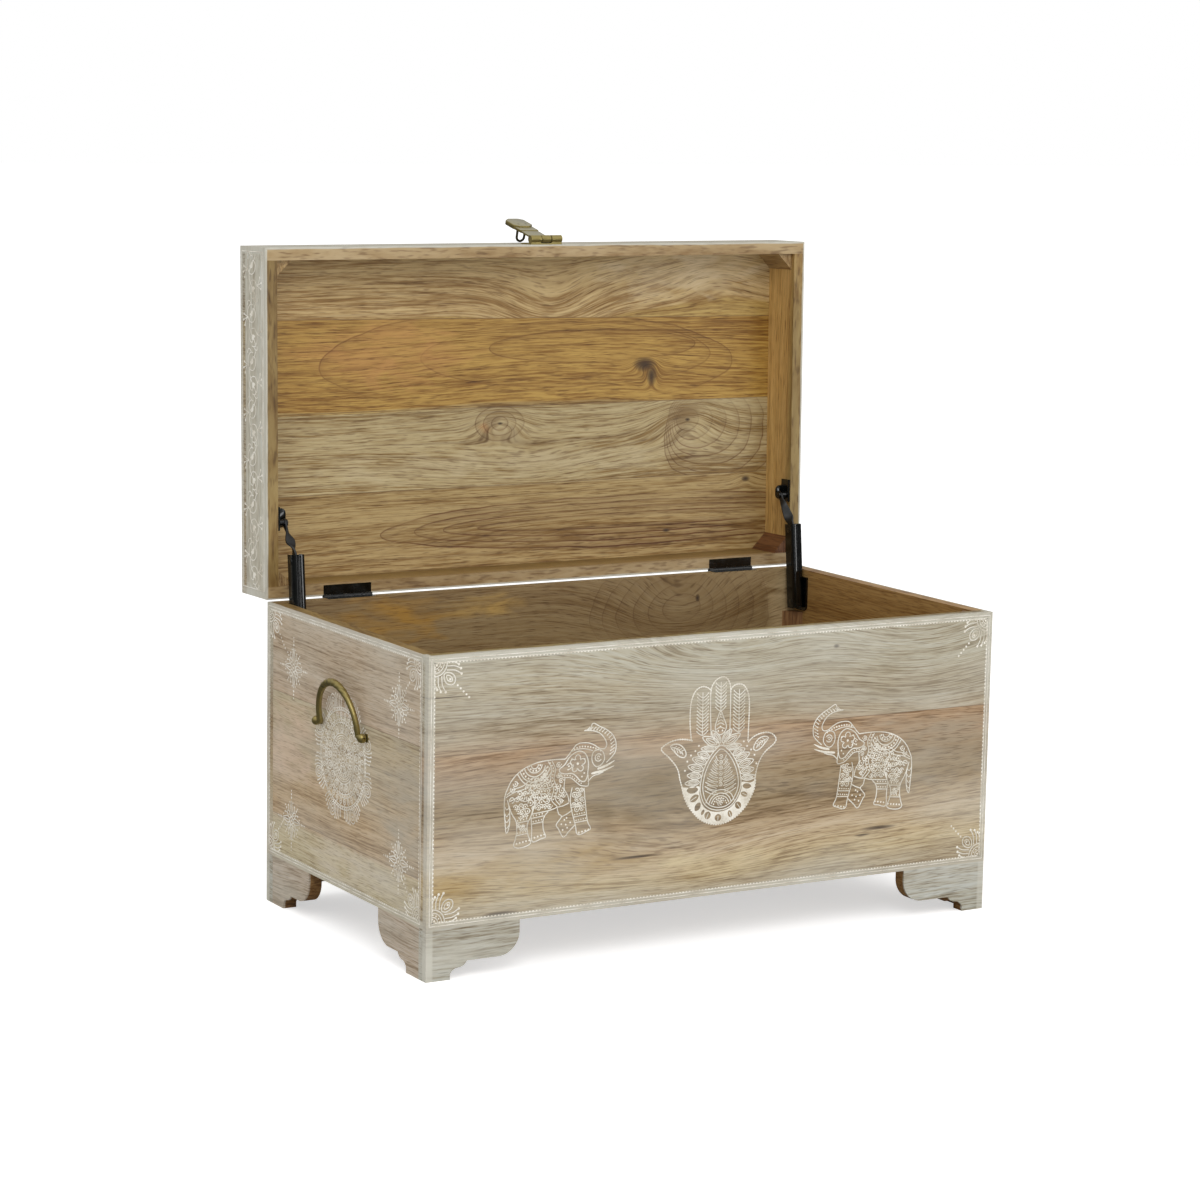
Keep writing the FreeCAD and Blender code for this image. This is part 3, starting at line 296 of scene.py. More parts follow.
def mango(name, order, washed, oiled, joints=(), tints=("#FFFFFF",), knots=(), ovals=(), patches=(),
          lid=False, foot=False, lap=0.002, haze=0.4, drift=0.0, sway=0.03, lines=0.5, spacing=0.011,
          contrast=1.0):
    """Boards with the grain along order[0]: colour zones (v in mm, colour) for wash and oil, plank joints
    (v, slope) with a tint per plank, knots (plank, u, v, length, width, rise, eye), single dark lines as
    ovals (plank, u, v, length, width, strength), marbled patches (plank, u, v, length, width, colour)."""
    material, tree = finish_named(name)
    spot = add(tree, "TexCoord").outputs["Object"]
    if lid:
        shut = {"Vector": spot, "Location": SHUT_SHIFT, "Rotation": (OPEN_ANGLE, 0, 0)}
        spot = add(tree, "Mapping", shut).outputs[0]
    axes = add(tree, "SeparateXYZ", {"Vector": spot})
    u, v, w = (axes.outputs[letter] for letter in order)
    plank, seam, tint = planks(tree, u, v, joints, tints)
    cut = add(tree, "Math", {0: plank, 1: SLICE_APART, 2: drift}, operation="MULTIPLY_ADD")
    deep = add(tree, "Math", {0: w, 1: cut}, operation="ADD")
    board = add(tree, "CombineXYZ", {"X": u, "Y": v, "Z": deep})
    seat = add(tree, "CombineXYZ", {"X": u, "Y": v, "Z": plank})
    # height field of the growth lines, and the noises that follow it
    bend = figure(tree, "bend", board)
    bent = add(tree, "Math", {0: bend, 1: sway, 2: -sway / 2}, operation="MULTIPLY_ADD")
    bent = add(tree, "Math", {0: bent, 1: v}, operation="ADD")
    bent, core = knotted(tree, seat, bent, knots)
    field = add(tree, "CombineXYZ", {"X": u, "Y": bent, "Z": deep})
    streak, fibre, pore = (figure(tree, kind, field) for kind in ("streak", "fibre", "pore"))
    cloud, marble = (figure(tree, kind, board) for kind in ("cloud", "marble"))
    pit = add(tree, "MapRange", {"Value": pore, "From Min": 0.54, "From Max": 0.7})
    # thin growth lines, uneven because the streak noise shifts them and the cloud noise breaks them
    phase = add(tree, "Math", {0: streak, 1: 6.0}, operation="MULTIPLY")
    phase = add(tree, "Math", {0: bent, 1: 2 * math.pi / spacing, 2: phase}, operation="MULTIPLY_ADD")
    ring = add(tree, "Math", {0: phase}, operation="SINE")
    ring = add(tree, "MapRange", {"Value": ring, "From Min": 0.72, "From Max": 1.0})
    here = add(tree, "MapRange", {"Value": cloud, "From Min": 0.35, "From Max": 0.65, "To Max": lines})
    ring = add(tree, "Math", {0: ring, 1: here}, operation="MULTIPLY")
    marks = add(tree, "Math", {0: pit, 1: 0.5, 2: ring}, operation="MULTIPLY_ADD", use_clamp=True)
    # single growth lines, bent over about 70 mm, broken by fibres and fading in places
    warp = add(tree, "TexNoise", {"Vector": board, "Scale": 14.0, "Detail": 3.0, "Roughness": 0.45})
    warp = add(tree, "VectorMath", {0: warp.outputs["Color"], 1: (0.5, 0.5, 0.5)}, operation="SUBTRACT")
    warp = add(tree, "VectorMath", {0: warp, 1: (0.07, 0.03, 0.0)}, operation="MULTIPLY")
    wobble = add(tree, "Math", {0: bend, 1: 0.7, 2: -1.35}, operation="MULTIPLY_ADD")
    contour = drawn_lines(tree, seat, warp, wobble, ovals)
    for value, low, high, least, most in ((fibre, 0.3, 0.6, 0.45, 1.0), (cloud, 0.35, 0.6, 0.25, 0.9)):
        shown = {"Value": value, "From Min": low, "From Max": high, "To Min": least, "To Max": most}
        shown = add(tree, "MapRange", shown)
        contour = add(tree, "Math", {0: contour, 1: shown}, operation="MULTIPLY")
    # marbled patches
    loose = add(tree, "VectorMath", {0: seat, 1: warp}, operation="ADD")
    stains = []
    for *oval, code in patches:
        square = from_oval(tree, loose, *oval)[1]
        vein = add(tree, "Math", {0: square, 1: -0.22, 2: marble}, operation="MULTIPLY_ADD")
        vein = add(tree, "MapRange", {"Value": vein, "From Min": 0.25, "From Max": 0.6, "To Max": 0.75})
        stains.append((vein, linear(code), "MIX"))
    # colours of both coats
    tone = add(tree, "Math", {0: fibre, 1: 1.5, 2: streak}, operation="MULTIPLY_ADD")
    spread = TONE_SPREAD / contrast
    tone = {"Value": tone, "From Min": TONE_MIDDLE - spread, "From Max": TONE_MIDDLE + spread}
    tone = add(tree, "MapRange", tone)
    faint = add(tree, "Math", {0: seam, 1: 0.5}, operation="MULTIPLY")
    coats = []
    for zones, shades, groove in ((washed, WASH_SHADES, "#8E7A60"), (oiled, OIL_SHADES, "#8A6A44")):
        first, last = zones[0][0], zones[-1][0]
        share = add(tree, "MapRange", {"Value": bent, "From Min": first * 0.001, "From Max": last * 0.001})
        stops = [((z - first) / (last - first), code) for z, code in zones]
        colour = add(tree, "ValToRGB", {"Fac": share}, stops=stops)
        grain = add(tree, "ValToRGB", {"Fac": tone}, stops=shades)
        layers = [(1.0, grain, "MULTIPLY"), (1.0, tint, "MULTIPLY"), *stains]
        layers += [(marks, linear(groove), "MULTIPLY"), (contour, linear("#8F5F33"), "MULTIPLY")]
        layers += [(core, linear("#35241A"), "MIX"), (faint, linear("#6A5238"), "MIX")]
        for amount, layer, way in layers:
            both = {"Factor": amount, "A": colour, "B": layer}
            colour = add(tree, "Mix", both, data_type="RGBA", blend_type=way)
        coats.append(colour)
    wash, oil = coats
    # the wash is hazy in places and thick along the edges, and its end wanders over about 70 mm
    depth, edge = outer_depth(tree, axes, lid, foot)
    band = {"Value": edge, "From Min": BAND_FULL, "From Max": BAND_GONE, "To Min": 0.5, "To Max": 0.0}
    band = add(tree, "MapRange", band)
    thick = add(tree, "MapRange", {"Value": cloud, "From Min": 0.4, "From Max": 0.75, "To Max": haze})
    thick = add(tree, "Math", {0: thick, 1: band}, operation="ADD", use_clamp=True)
    wash = add(tree, "Mix", {"Factor": thick, "A": wash, "B": linear("#C8C5B8")}, data_type="RGBA")
    ragged = add(tree, "TexNoise", {"Vector": spot, "Scale": 14.0, "Detail": 3.0})
    reach = add(tree, "Math", {0: ragged.outputs[0], 1: lap * 2}, operation="MULTIPLY")
    under = add(tree, "Math", {0: depth, 1: reach}, operation="SUBTRACT")
    bare = add(tree, "MapRange", {"Value": under, "From Max": DRY_EDGE})
    colour = add(tree, "Mix", {"Factor": bare, "A": wash, "B": oil}, data_type="RGBA")
    rough = add(tree, "MapRange", {"Value": bare, "To Min": 0.72, "To Max": 0.5})
    height = add(tree, "Math", {0: pit, 1: -0.6, 2: fibre}, operation="MULTIPLY_ADD")
    relief = add(tree, "Bump", {"Height": height, "Strength": 0.25, "Distance": 0.0006})
    look = {"Base Color": colour, "Roughness": rough, "Normal": relief, "IOR": 1.5}
    add(tree, "OutputMaterial", {"Surface": add(tree, "BsdfPrincipled", look)})
    print(name, "nodes:", len(tree.nodes))
    return material


# %% [markdown]
# ### The boards
# Each board is given its own zones, joints and knots, so that no two look alike. The front is two planks:
# grey above, and below it brown that turns to straw towards the bottom edge.

# %% Front
TAN = [(0, "#A88C5E"), (200, "#9E8254"), (340, "#A68A5C"), (384, "#99885B")]
FRONT_ZONES = [
    (62, "#B3A995"), (84, "#BDB198"), (104, "#CDBE9C"), (126, "#CAB99A"), (150, "#C4B297"),
    (172, "#B6A284"), (192, "#9D8B6D"), (214, "#A28E70"), (236, "#AC967C"), (262, "#BA9F81"),
    (284, "#B9AB93"), (312, "#BAB29F"), (345, "#BEB59F"), (384, "#C0BBA9"),
]
front_wood = mango(
    "Mango washed, front", "XZY", FRONT_ZONES, TAN, joints=[(0.266, 0.0)], tints=("#FFFFFF", "#FAFCFF"),
    knots=[
        (0, -0.118, 0.121, 0.042, 0.0022, 0.0, 1.0), (0, -0.1, 0.118, 0.16, 0.03, 0.03, 0.0),
        (0, 0.235, 0.122, 0.03, 0.003, 0.0, 1.0), (0, 0.21, 0.115, 0.014, 0.0016, 0.0, 1.0),
        (0, 0.03, 0.16, 0.22, 0.03, 0.02, 0.0), (0, -0.303, 0.0705, 0.028, 0.0052, 0.0, 1.0),
        (1, 0.0, 0.36, 0.16, 0.05, 0.06, 0.0), (1, 0.3, 0.4, 0.15, 0.1, 0.09, 0.0),
        (1, 0.163, 0.357, 0.005, 0.003, 0.0, 1.0), (1, -0.385, 0.335, 0.05, 0.0008, 0.0, 1.0),
    ],
    patches=[
        (0, -0.27, 0.118, 0.15, 0.03, "#A88C58"), (0, -0.1, 0.205, 0.12, 0.06, "#77613B"),
        (0, 0.3, 0.215, 0.12, 0.05, "#9F9079"), (0, -0.02, 0.105, 0.13, 0.016, "#D2C29C"),
    ],
    lap=0.007, sway=0.024, lines=0.25,
)
coat(["front_panel"], front_wood)

# %% Back and ends
BACK_ZONES = [(62, "#B9AE96"), (140, "#C0AF8F"), (230, "#AE9C81"), (310, "#B4AA96"), (384, "#BCB5A3")]
back_wood = mango(
    "Mango washed, back", "XZY", BACK_ZONES, [(62, "#B09C75"), (220, "#AD9973"), (384, "#A99572")],
    joints=[(0.23, 0.01)], tints=("#FFFFFF", "#F6F4EE"),
    knots=[(1, 0.2, 0.335, 0.12, 0.06, 0.06, 0.0), (1, 0.225, 0.352, 0.004, 0.006, 0.0, 1.0)],
    ovals=[(1, 0.2, 0.34, 0.03 + 0.021 * i, 0.018 + 0.014 * i, 0.5) for i in range(6)],
    patches=[
        (1, -0.24, 0.35, 0.1, 0.03, "#B98A34"), (1, -0.1, 0.36, 0.07, 0.02, "#C9A35A"),
        (1, 0.36, 0.34, 0.035, 0.05, "#DCC396"),
    ],
    drift=3.1, sway=0.018, lines=0.2, contrast=0.7,
)
coat(["back_panel"], back_wood)
END_ZONES = [
    (62, "#D0C6B2"), (112, "#D4C6AF"), (118, "#D0B8A2"), (160, "#D0B9A2"), (210, "#CCB8A1"),
    (262, "#C7B7A1"), (300, "#C6BCAA"), (384, "#C8C0AF"),
]
left_wood = mango(
    "Mango washed, left end", "YZX", END_ZONES, TAN,
    joints=[(0.119, 0.0), (0.276, 0.0)], tints=("#FCFFF4", "#FFF6F0", "#FAFBFA"),
    patches=[
        (1, 0.11, 0.215, 0.1, 0.06, "#D3B99F"), (1, -0.22, 0.2, 0.065, 0.1, "#AC9F8A"),
        (0, -0.1, 0.092, 0.16, 0.03, "#D3C9B6"),
    ],
    drift=5.7, sway=0.02, lines=0.2, contrast=0.8,
)
coat(["left_panel"], left_wood)
RIGHT_OIL = [(62, "#9A804E"), (230, "#A78C57"), (330, "#A98D58"), (384, "#B69A66")]
right_wood = mango(
    "Mango washed, right end", "YZX", END_ZONES, RIGHT_OIL,
    joints=[(0.15, 0.0), (0.29, 0.0)], tints=("#FFFFFF", "#FFF6F0", "#FAFBFA"),
    drift=7.9, sway=0.02, lines=0.2, contrast=0.9,
)
coat(["right_panel"], right_wood)

# %% [markdown]
# ### The lid and the small boards
# The inside of the lid shows four planks, among them a golden one with a forked knot and a pale one with
# growth lines in nested ovals. The lid is laid out as if it were shut, with v from the hinge line forward.

# %% Lid
LID_ZONES = [
    (-443, "#CBB380"), (-350, "#CFB786"), (-348, "#BEA260"), (-228, "#C1A560"),
    (-226, "#BDAE86"), (-124, "#CDBE95"), (-120, "#BEAC7E"), (-3, "#C6B386"),
]
LID_WASH = [(-443, "#B4AFA0"), (-220, "#AFA48F"), (-3, "#B2A995")]
LID_OVALS = [
    (1, 0.017, -0.287, 0.302, 0.062, 0.85), (1, 0.075, -0.294, 0.215, 0.042, 0.7),
    (1, 0.112, -0.304, 0.158, 0.021, 0.8),
]
for i in range(7):
    LID_OVALS.append((2, 0.255 + 0.009 * i, -0.2 + 0.003 * i, 0.018 + 0.013 * i, 0.015 + 0.0095 * i, 0.95))
LID_OVALS += [(2, -0.035, -0.205, 0.012 + 0.012 * i, 0.009 + 0.007 * i, 0.7) for i in range(3)]
LID_OVALS += [(3, 0.2, -0.068, 0.44 - 0.055 * i, 0.034 - 0.008 * i, 1.3) for i in range(4)]
lid_top_wood = mango(
    "Mango oiled, lid top", "XYZ", LID_WASH, LID_ZONES,
    joints=[(-0.343, 0.012), (-0.227, 0.0), (-0.1235, -0.003)],
    tints=("#FFFFFF", "#FFF4D8", "#FFFFFF", "#FFF8EE"),
    knots=[
        (0, 0.3, -0.4, 0.1, 0.04, 0.03, 0.0), (0, 0.04, -0.35, 0.08, 0.05, -0.035, 0.0),
        (1, 0.02, -0.288, 0.3, 0.05, 0.02, 0.0), (1, 0.186, -0.277, 0.02, 0.011, 0.012, 1.0),
        (1, 0.197, -0.262, 0.009, 0.016, 0.012, 1.0), (2, -0.035, -0.205, 0.04, 0.018, 0.02, 0.014),
        (2, 0.255, -0.2, 0.06, 0.035, 0.03, 0.006), (2, -0.01, -0.15, 0.14, 0.03, -0.02, 0.0),
        (3, 0.1, -0.068, 0.3, 0.03, 0.02, 0.0), (3, 0.223, -0.05, 0.007, 0.003, 0.0, 1.0),
        (3, 0.35, -0.115, 0.02, 0.012, 0.01, 0.15),
    ],
    ovals=LID_OVALS,
    patches=[
        (0, 0.27, -0.405, 0.14, 0.04, "#DCC8A0"), (1, -0.2, -0.3, 0.12, 0.04, "#BE8B4C"),
        (2, -0.05, -0.2, 0.012, 0.008, "#B57A3C"), (2, 0.255, -0.2, 0.026, 0.022, "#86693E"),
        (2, -0.035, -0.205, 0.012, 0.008, "#8F7550"), (2, -0.05, -0.155, 0.3, 0.016, "#CBBA92"),
    ],
    lid=True, sway=0.016, lines=0.38, spacing=0.013, contrast=1.3,
)
coat(["lid_top_panel"], lid_top_wood)
RAIL_WASH = [(0, "#CBCABE"), (77, "#CECEC4")]
RAIL_OIL = [(0, "#BDA986"), (12, "#A88E5F"), (40, "#937A45"), (77, "#8D7440")]
END_RAIL_OIL = [(0, "#A08B5A"), (12, "#CFAF74"), (40, "#E0BE7D"), (77, "#DBB673")]
RAIL_LOOK = {"lid": True, "lap": 0.0015, "lines": 0.2, "contrast": 0.8}
rail_wood = mango("Mango washed, lid rails", "XZY", RAIL_WASH, RAIL_OIL, drift=8.3, **RAIL_LOOK)
coat(["lid_front_rail", "lid_back_rail"], rail_wood)
end_rail_wood = mango("Mango washed, lid end rails", "YZX", RAIL_WASH, END_RAIL_OIL, drift=11.9, **RAIL_LOOK)
coat(["lid_left_rail", "lid_right_rail"], end_rail_wood)

# %% Feet, bottom and blocks
BROWN = [(0, "#8E6C40"), (62, "#94744A")]
FOOT_LOOK = {"foot": True, "lines": 0.3, "contrast": 1.2}
for ending, order, zones, drift, haze in (
    ("face", "XZY", [(0, "#B8BAB2"), (62, "#BDBDB5")], 2.2, 0.7),
    ("side", "YZX", [(0, "#C5B8A8"), (62, "#C3B6A6")], 4.4, 0.5),
):
    title = f"Mango washed, foot {ending}s"
    foot_wood = mango(title, order, zones, BROWN, drift=drift, haze=haze, **FOOT_LOOK)
    coat([n for n in nodes if n.endswith(f"{ending}_board")], foot_wood)
bottom_wood = mango(
    "Mango oiled, bottom", "XYZ", TAN, [(-273, "#9C8154"), (167, "#94784C")],
    joints=[(-0.12, 0.0), (0.03, 0.0)], tints=("#FFFFFF", "#F4EEE2", "#FFF8EC"), drift=6.6,
)
coat(["bottom_panel"], bottom_wood)
lid_blocks = [n for n in nodes if n.startswith("lid_block")]
inner_blocks = [n for n in nodes if "corner_block" in n or "glue_block" in n]
for kind, names, low, high, lid, drift in (
    ("blocks", inner_blocks, "#8C6A3E", "#93704A", False, 1.4),
    ("lid blocks", lid_blocks, "#B49A6C", "#B59C72", True, 1.9),
    ("red block", ["lid_block_back_right"], "#86603A", "#7E5634", True, 2.7),
):
    across = [(-400, low), (400, high)]
    coat(names, mango(f"Mango oiled, {kind}", "ZXY", TAN, across, lid=lid, drift=drift))

# %% [markdown]
# ## Antique brass
# The handles and the hasp are cast brass that was darkened with acid and rubbed bright again where fingers
# meet it. The eye gets olive brown in the hollows and dull gold on the edges, so the colour follows how far
# the surface stands out. The gloss is uneven like a casting's: its clouds are 8 mm wide and its grit 1 mm.

# %% Antique brass
def cast_brass(name, stops):
    """Cast brass in which the colour runs from the hollows to the rubbed edges."""
    material, tree = finish_named(name)
    spot = add(tree, "TexCoord").outputs["Object"]
    cloud = add(tree, "TexNoise", {"Vector": spot, "Scale": 120.0, "Detail": 4.0})
    grit = add(tree, "TexNoise", {"Vector": spot, "Scale": 900.0, "Detail": 2.0})
    proud = add(tree, "NewGeometry").outputs["Pointiness"]
    edge = add(tree, "MapRange", {"Value": proud, "From Min": 0.48, "From Max": 0.56})
    rubbed = add(tree, "Math", {0: cloud.outputs[0], 1: edge}, operation="ADD")
    colour = add(tree, "ValToRGB", {"Fac": rubbed}, stops=stops)
    rough = {"Value": cloud.outputs[0], "From Min": 0.3, "From Max": 0.7, "To Min": 0.32, "To Max": 0.52}
    rough = add(tree, "MapRange", rough)
    relief = add(tree, "Bump", {"Height": grit.outputs[0], "Strength": 0.15, "Distance": 0.0002})
    look = {"Base Color": colour, "Metallic": 0.9, "Roughness": rough, "Normal": relief}
    add(tree, "OutputMaterial", {"Surface": add(tree, "BsdfPrincipled", look)})
    return material


brass = cast_brass("Antique brass, cast and rubbed", [(0.3, "#3A3620"), (0.6, "#6E6640"), (0.95, "#A1925C")])
# A paler grey copy of the brass for the strap's broad faces: a painted reflection of the bright surround they
# face.
brass_painted_reflection = cast_brass("Antique brass, painted pale reflection", [(0.3, "#4A4738"), (0.6, "#7F7B64"), (0.95, "#A9A388")])
# A near-black copy of the brass for the hasp's loop: painted shadow of the shield that hangs over it.
brass_painted_shadow = cast_brass("Antique brass, painted shadow", [(0.3, "#14140F"), (0.6, "#2A281C"), (0.95, "#57513A")])
coat([n for n in nodes if n.startswith(("handle_left", "handle_right", "clasp"))], brass)
coat(["clasp_loop"], brass_painted_shadow)

# %% [markdown]
# ## Black japanned iron
# Hinges and lid stays are sheet iron in glossy black lacquer. It is nearly black with a cool tinge, has a
# clear gloss with a slight orange-peel ripple of 2.5 mm, and dust makes it duller in patches of 17 mm.

# %% Black japanned iron
def japanned(name, smooth, dull):
    """Black lacquer whose roughness runs between two values."""
    material, tree = finish_named(name)
    spot = add(tree, "TexCoord").outputs["Object"]
    peel = add(tree, "TexNoise", {"Vector": spot, "Scale": 400.0, "Detail": 2.0})
    dust = add(tree, "TexNoise", {"Vector": spot, "Scale": 60.0, "Detail": 4.0})
    colour = add(tree, "ValToRGB", {"Fac": dust.outputs[0]}, stops=[(0.35, "#030404"), (0.7, "#0A0D0C")])
    rough = {"Value": dust.outputs[0], "From Min": 0.35, "From Max": 0.7, "To Min": smooth, "To Max": dull}
    rough = add(tree, "MapRange", rough)
    relief = add(tree, "Bump", {"Height": peel.outputs[0], "Strength": 0.08, "Distance": 0.0003})
    look = {"Base Color": colour, "Roughness": rough, "Normal": relief, "IOR": 1.55}
    add(tree, "OutputMaterial", {"Surface": add(tree, "BsdfPrincipled", look)})
    return material


iron = japanned("Iron, black japanned", 0.09, 0.18)
dull_iron = japanned("Iron, black japanned, handled dull", 0.4, 0.6)
coat([n for n in nodes if n.startswith(("hinge", "stay"))], iron)

# %% [markdown]
# ## Zinc-plated steel
# The nuts inside the ends are plain plated steel: pale, half dull and slightly mottled, in spots of 3 mm.

# %% Zinc-plated steel
zinc, tree = finish_named("Steel, zinc plated")
spot = add(tree, "TexCoord").outputs["Object"]
mottle = add(tree, "TexNoise", {"Vector": spot, "Scale": 300.0, "Detail": 3.0})
colour = add(tree, "ValToRGB", {"Fac": mottle.outputs[0]}, stops=[(0.35, "#8C8C88"), (0.7, "#B4B4AE")])
rough = add(tree, "MapRange", {"Value": mottle.outputs[0], "To Min": 0.3, "To Max": 0.5})
shader = add(tree, "BsdfPrincipled", {"Base Color": colour, "Metallic": 1.0, "Roughness": rough})
add(tree, "OutputMaterial", {"Surface": shader})
coat(["handle_nuts"], zinc)

# %% [markdown]
# ## Raised paint
# The ornament is drawn with a cone of thick off-white chalk paint, so each line stands up a little and its
# colour varies with how thick it lies, over about 22 mm. Where the cone ran thin, it is greyer. The chalk's
# grit is drawn 1.4 mm coarse, or it would not show.

# %% Chalk paint
chalk, tree = finish_named("Chalk paint, raised line")
spot = add(tree, "TexCoord").outputs["Object"]
patchy = add(tree, "TexNoise", {"Vector": spot, "Scale": 45.0, "Detail": 3.0})
grit = add(tree, "TexNoise", {"Vector": spot, "Scale": 700.0, "Detail": 2.0})
thin = add(tree, "Math", {0: grit.outputs[0], 1: 0.4, 2: patchy.outputs[0]}, operation="MULTIPLY_ADD")
colour = add(tree, "ValToRGB", {"Fac": thin}, stops=[(0.5, "#C8BFAD"), (0.68, "#E1DBCD"), (0.85, "#EEEADF")])
relief = add(tree, "Bump", {"Height": grit.outputs[0], "Strength": 0.2, "Distance": 0.0003})
shader = add(tree, "BsdfPrincipled", {"Base Color": colour, "Roughness": 0.8, "Normal": relief, "IOR": 1.5})
add(tree, "OutputMaterial", {"Surface": shader})
print(chalk.name, "nodes:", len(tree.nodes))

# %% [markdown]
# ## The painter's hand
# A motif is a list of strokes, dots and filled shapes in millimetres on a flat sheet. Strokes are rounded
# through their points, given a bevel as curves, made a mesh and pressed flat. Dots are one small modelled
# drop, copied. The sheet is then laid on its board, so that a line stands about 0.15 mm proud of the wood.

# %% Smooth lines and circles
def rounded(points, pitch=2.0, closed=False):
    """Evenly spaced points on a smooth curve through the given ones."""
    ring = [Vector(p) for p in points]
    ends = [ring[-1]] + ring + [ring[0], ring[1]] if closed else [ring[0]] + ring + [ring[-1]]
    fine = []
    for p0, p1, p2, p3 in zip(ends, ends[1:], ends[2:], ends[3:]):
        for step in range(8):
            t = step / 8
            square = (2 * p0 - 5 * p1 + 4 * p2 - p3) * t * t
            fine.append(p1 + ((p2 - p0) * t + square + (3 * (p1 - p2) + p3 - p0) * t ** 3) / 2)
    fine.append(ring[0] if closed else ring[-1])
    lengths = [0.0]
    for p, q in zip(fine, fine[1:]):
        lengths.append(lengths[-1] + (q - p).length)
    count = max(1, round(lengths[-1] / pitch))
    spaced, k = [], 0
    for i in range(count if closed else count + 1):
        want = lengths[-1] * i / count
        while k < len(fine) - 2 and lengths[k + 1] < want:
            k += 1
        run = lengths[k + 1] - lengths[k]
        spaced.append(fine[k].lerp(fine[k + 1], (want - lengths[k]) / run if run else 0.0))
    return spaced


def arc(centre, radius, start, end):
    """Points on an arc, angles in degrees."""
    count = max(3, round(abs(end - start) / 30) + 1)
    angles = [math.radians(start + (end - start) * i / (count - 1)) for i in range(count)]
    return [(centre[0] + radius * math.cos(a), centre[1] + radius * math.sin(a)) for a in angles]


def around(count, radius, turn=0.0):
    """Places on a circle with their headings in degrees; turn is a share of the step from one to the next."""
    for i in range(count):
        a = 2 * math.pi * (i + turn) / count
        yield (radius * math.cos(a), radius * math.sin(a)), math.degrees(a)


# %% Strokes, dots and sheets
LINE = 1.5


class Sheet:
    """One motif: strokes (points, width, closed), dots (place, across) and filled outlines."""

    def __init__(self):
        self.strokes, self.dots, self.fills = [], [], []

    def line(self, points, width=LINE, closed=False):
        self.strokes.append(([Vector(p) for p in points], width, closed))

    def dot(self, place, across=2.4):
        self.dots.append((Vector(place), across))

    def beads(self, points, pitch, across=2.4, closed=False):
        for place in rounded(points, pitch, closed):
            self.dot(place, across)

    def ring(self, radius, width):
        self.line(arc((0, 0), radius, 0, 360)[:-1], width, True)

    def petal(self, half, width):
        """A closed line from the half of it that lies over the first axis."""
        self.line(half + [(x, -y) for x, y in reversed(half) if y], width, True)

    def rays(self, strokes, width, across):
        """Strokes on both sides of the first axis, each with a dot at its tip."""
        for side in (1, -1):
            for stroke in strokes:
                points = [(x, side * y) for x, y in stroke]
                self.line(points, width)
                self.dot(points[-1], across)

    def fill(self, *outlines):
        self.fills.append([[Vector(p) for p in outline] for outline in outlines])

    def stamp(self, other, origin=(0, 0), heading=0.0, scale=1.0, mirror=False):
        """Copies another sheet on to this one, turned by heading degrees."""
        turn = Matrix.Rotation(math.radians(heading), 2)
        flip = -1.0 if mirror else 1.0

        def moved(p):
            return Vector(origin) + turn @ Vector((p.x, p.y * flip)) * scale

        for points, width, closed in other.strokes:
            self.strokes.append(([moved(p) for p in points], width * scale ** 0.5, closed))
        self.dots += [(moved(p), across * scale ** 0.5) for p, across in other.dots]
        self.fills += [[[moved(p) for p in outline] for outline in outlines] for outlines in other.fills]

    def tell(self, name):
        print(name, "strokes:", len(self.strokes), "dots:", len(self.dots))


# %% Selecting, joining and turning faces outwards
def pick(*pieces):
    """Selects these pieces alone, the first one active."""
    bpy.ops.object.select_all(action="DESELECT")
    for piece in pieces:
        piece.select_set(True)
    if pieces:
        bpy.context.view_layer.objects.active = pieces[0]


def joined(*pieces):
    """Makes the pieces one with the first of them."""
    pick(*pieces)
    if len(pieces) > 1:
        bpy.ops.object.join()
    return pieces[0]


def face_out(piece):
    """Makes a closed piece's faces point outwards."""
    pick(piece)
    bpy.ops.object.mode_set(mode="EDIT")
    bpy.ops.mesh.select_all(action="SELECT")
    bpy.ops.mesh.normals_make_consistent(inside=False)
    bpy.ops.object.mode_set(mode="OBJECT")


# %% One drop of paint
pick()
bpy.ops.mesh.primitive_circle_add(vertices=8, radius=0.5, fill_type="NGON")
drop = bpy.context.object
bpy.ops.object.mode_set(mode="EDIT")
bpy.ops.mesh.select_all(action="SELECT")
for rise, narrow in ((0.75, 0.8), (0.25, 0.5)):
    bpy.ops.mesh.extrude_region_move(TRANSFORM_OT_translate={"value": (0, 0, rise)})
    bpy.ops.transform.resize(value=(narrow, narrow, 1))
bpy.ops.object.mode_set(mode="OBJECT")
face_out(drop)
DROP_POINTS = [v.co.copy() for v in drop.data.vertices]
DROP_FACES = [list(f.vertices) for f in drop.data.polygons]
bpy.data.objects.remove(drop)
print("drop faces:", len(DROP_FACES))


# %% Laying a sheet on its board
PROUD = 0.15
MM = 0.001


def traced(paths, dimensions):
    """A curve object with these paths (points, width, closed), from Blender's own starting curve."""
    pick()
    bpy.ops.curve.primitive_bezier_curve_add()
    curve = bpy.context.object
    curve.data.splines.clear()
    curve.data.dimensions = dimensions
    for points, width, closed in paths:
        spline = curve.data.splines.new("POLY")
        spline.points.add(len(points) - 1)
        spline.use_cyclic_u = closed
        for knot, p in zip(spline.points, points):
            knot.co = (p.x, p.y, 0, 1)
            knot.radius = width
    return curve


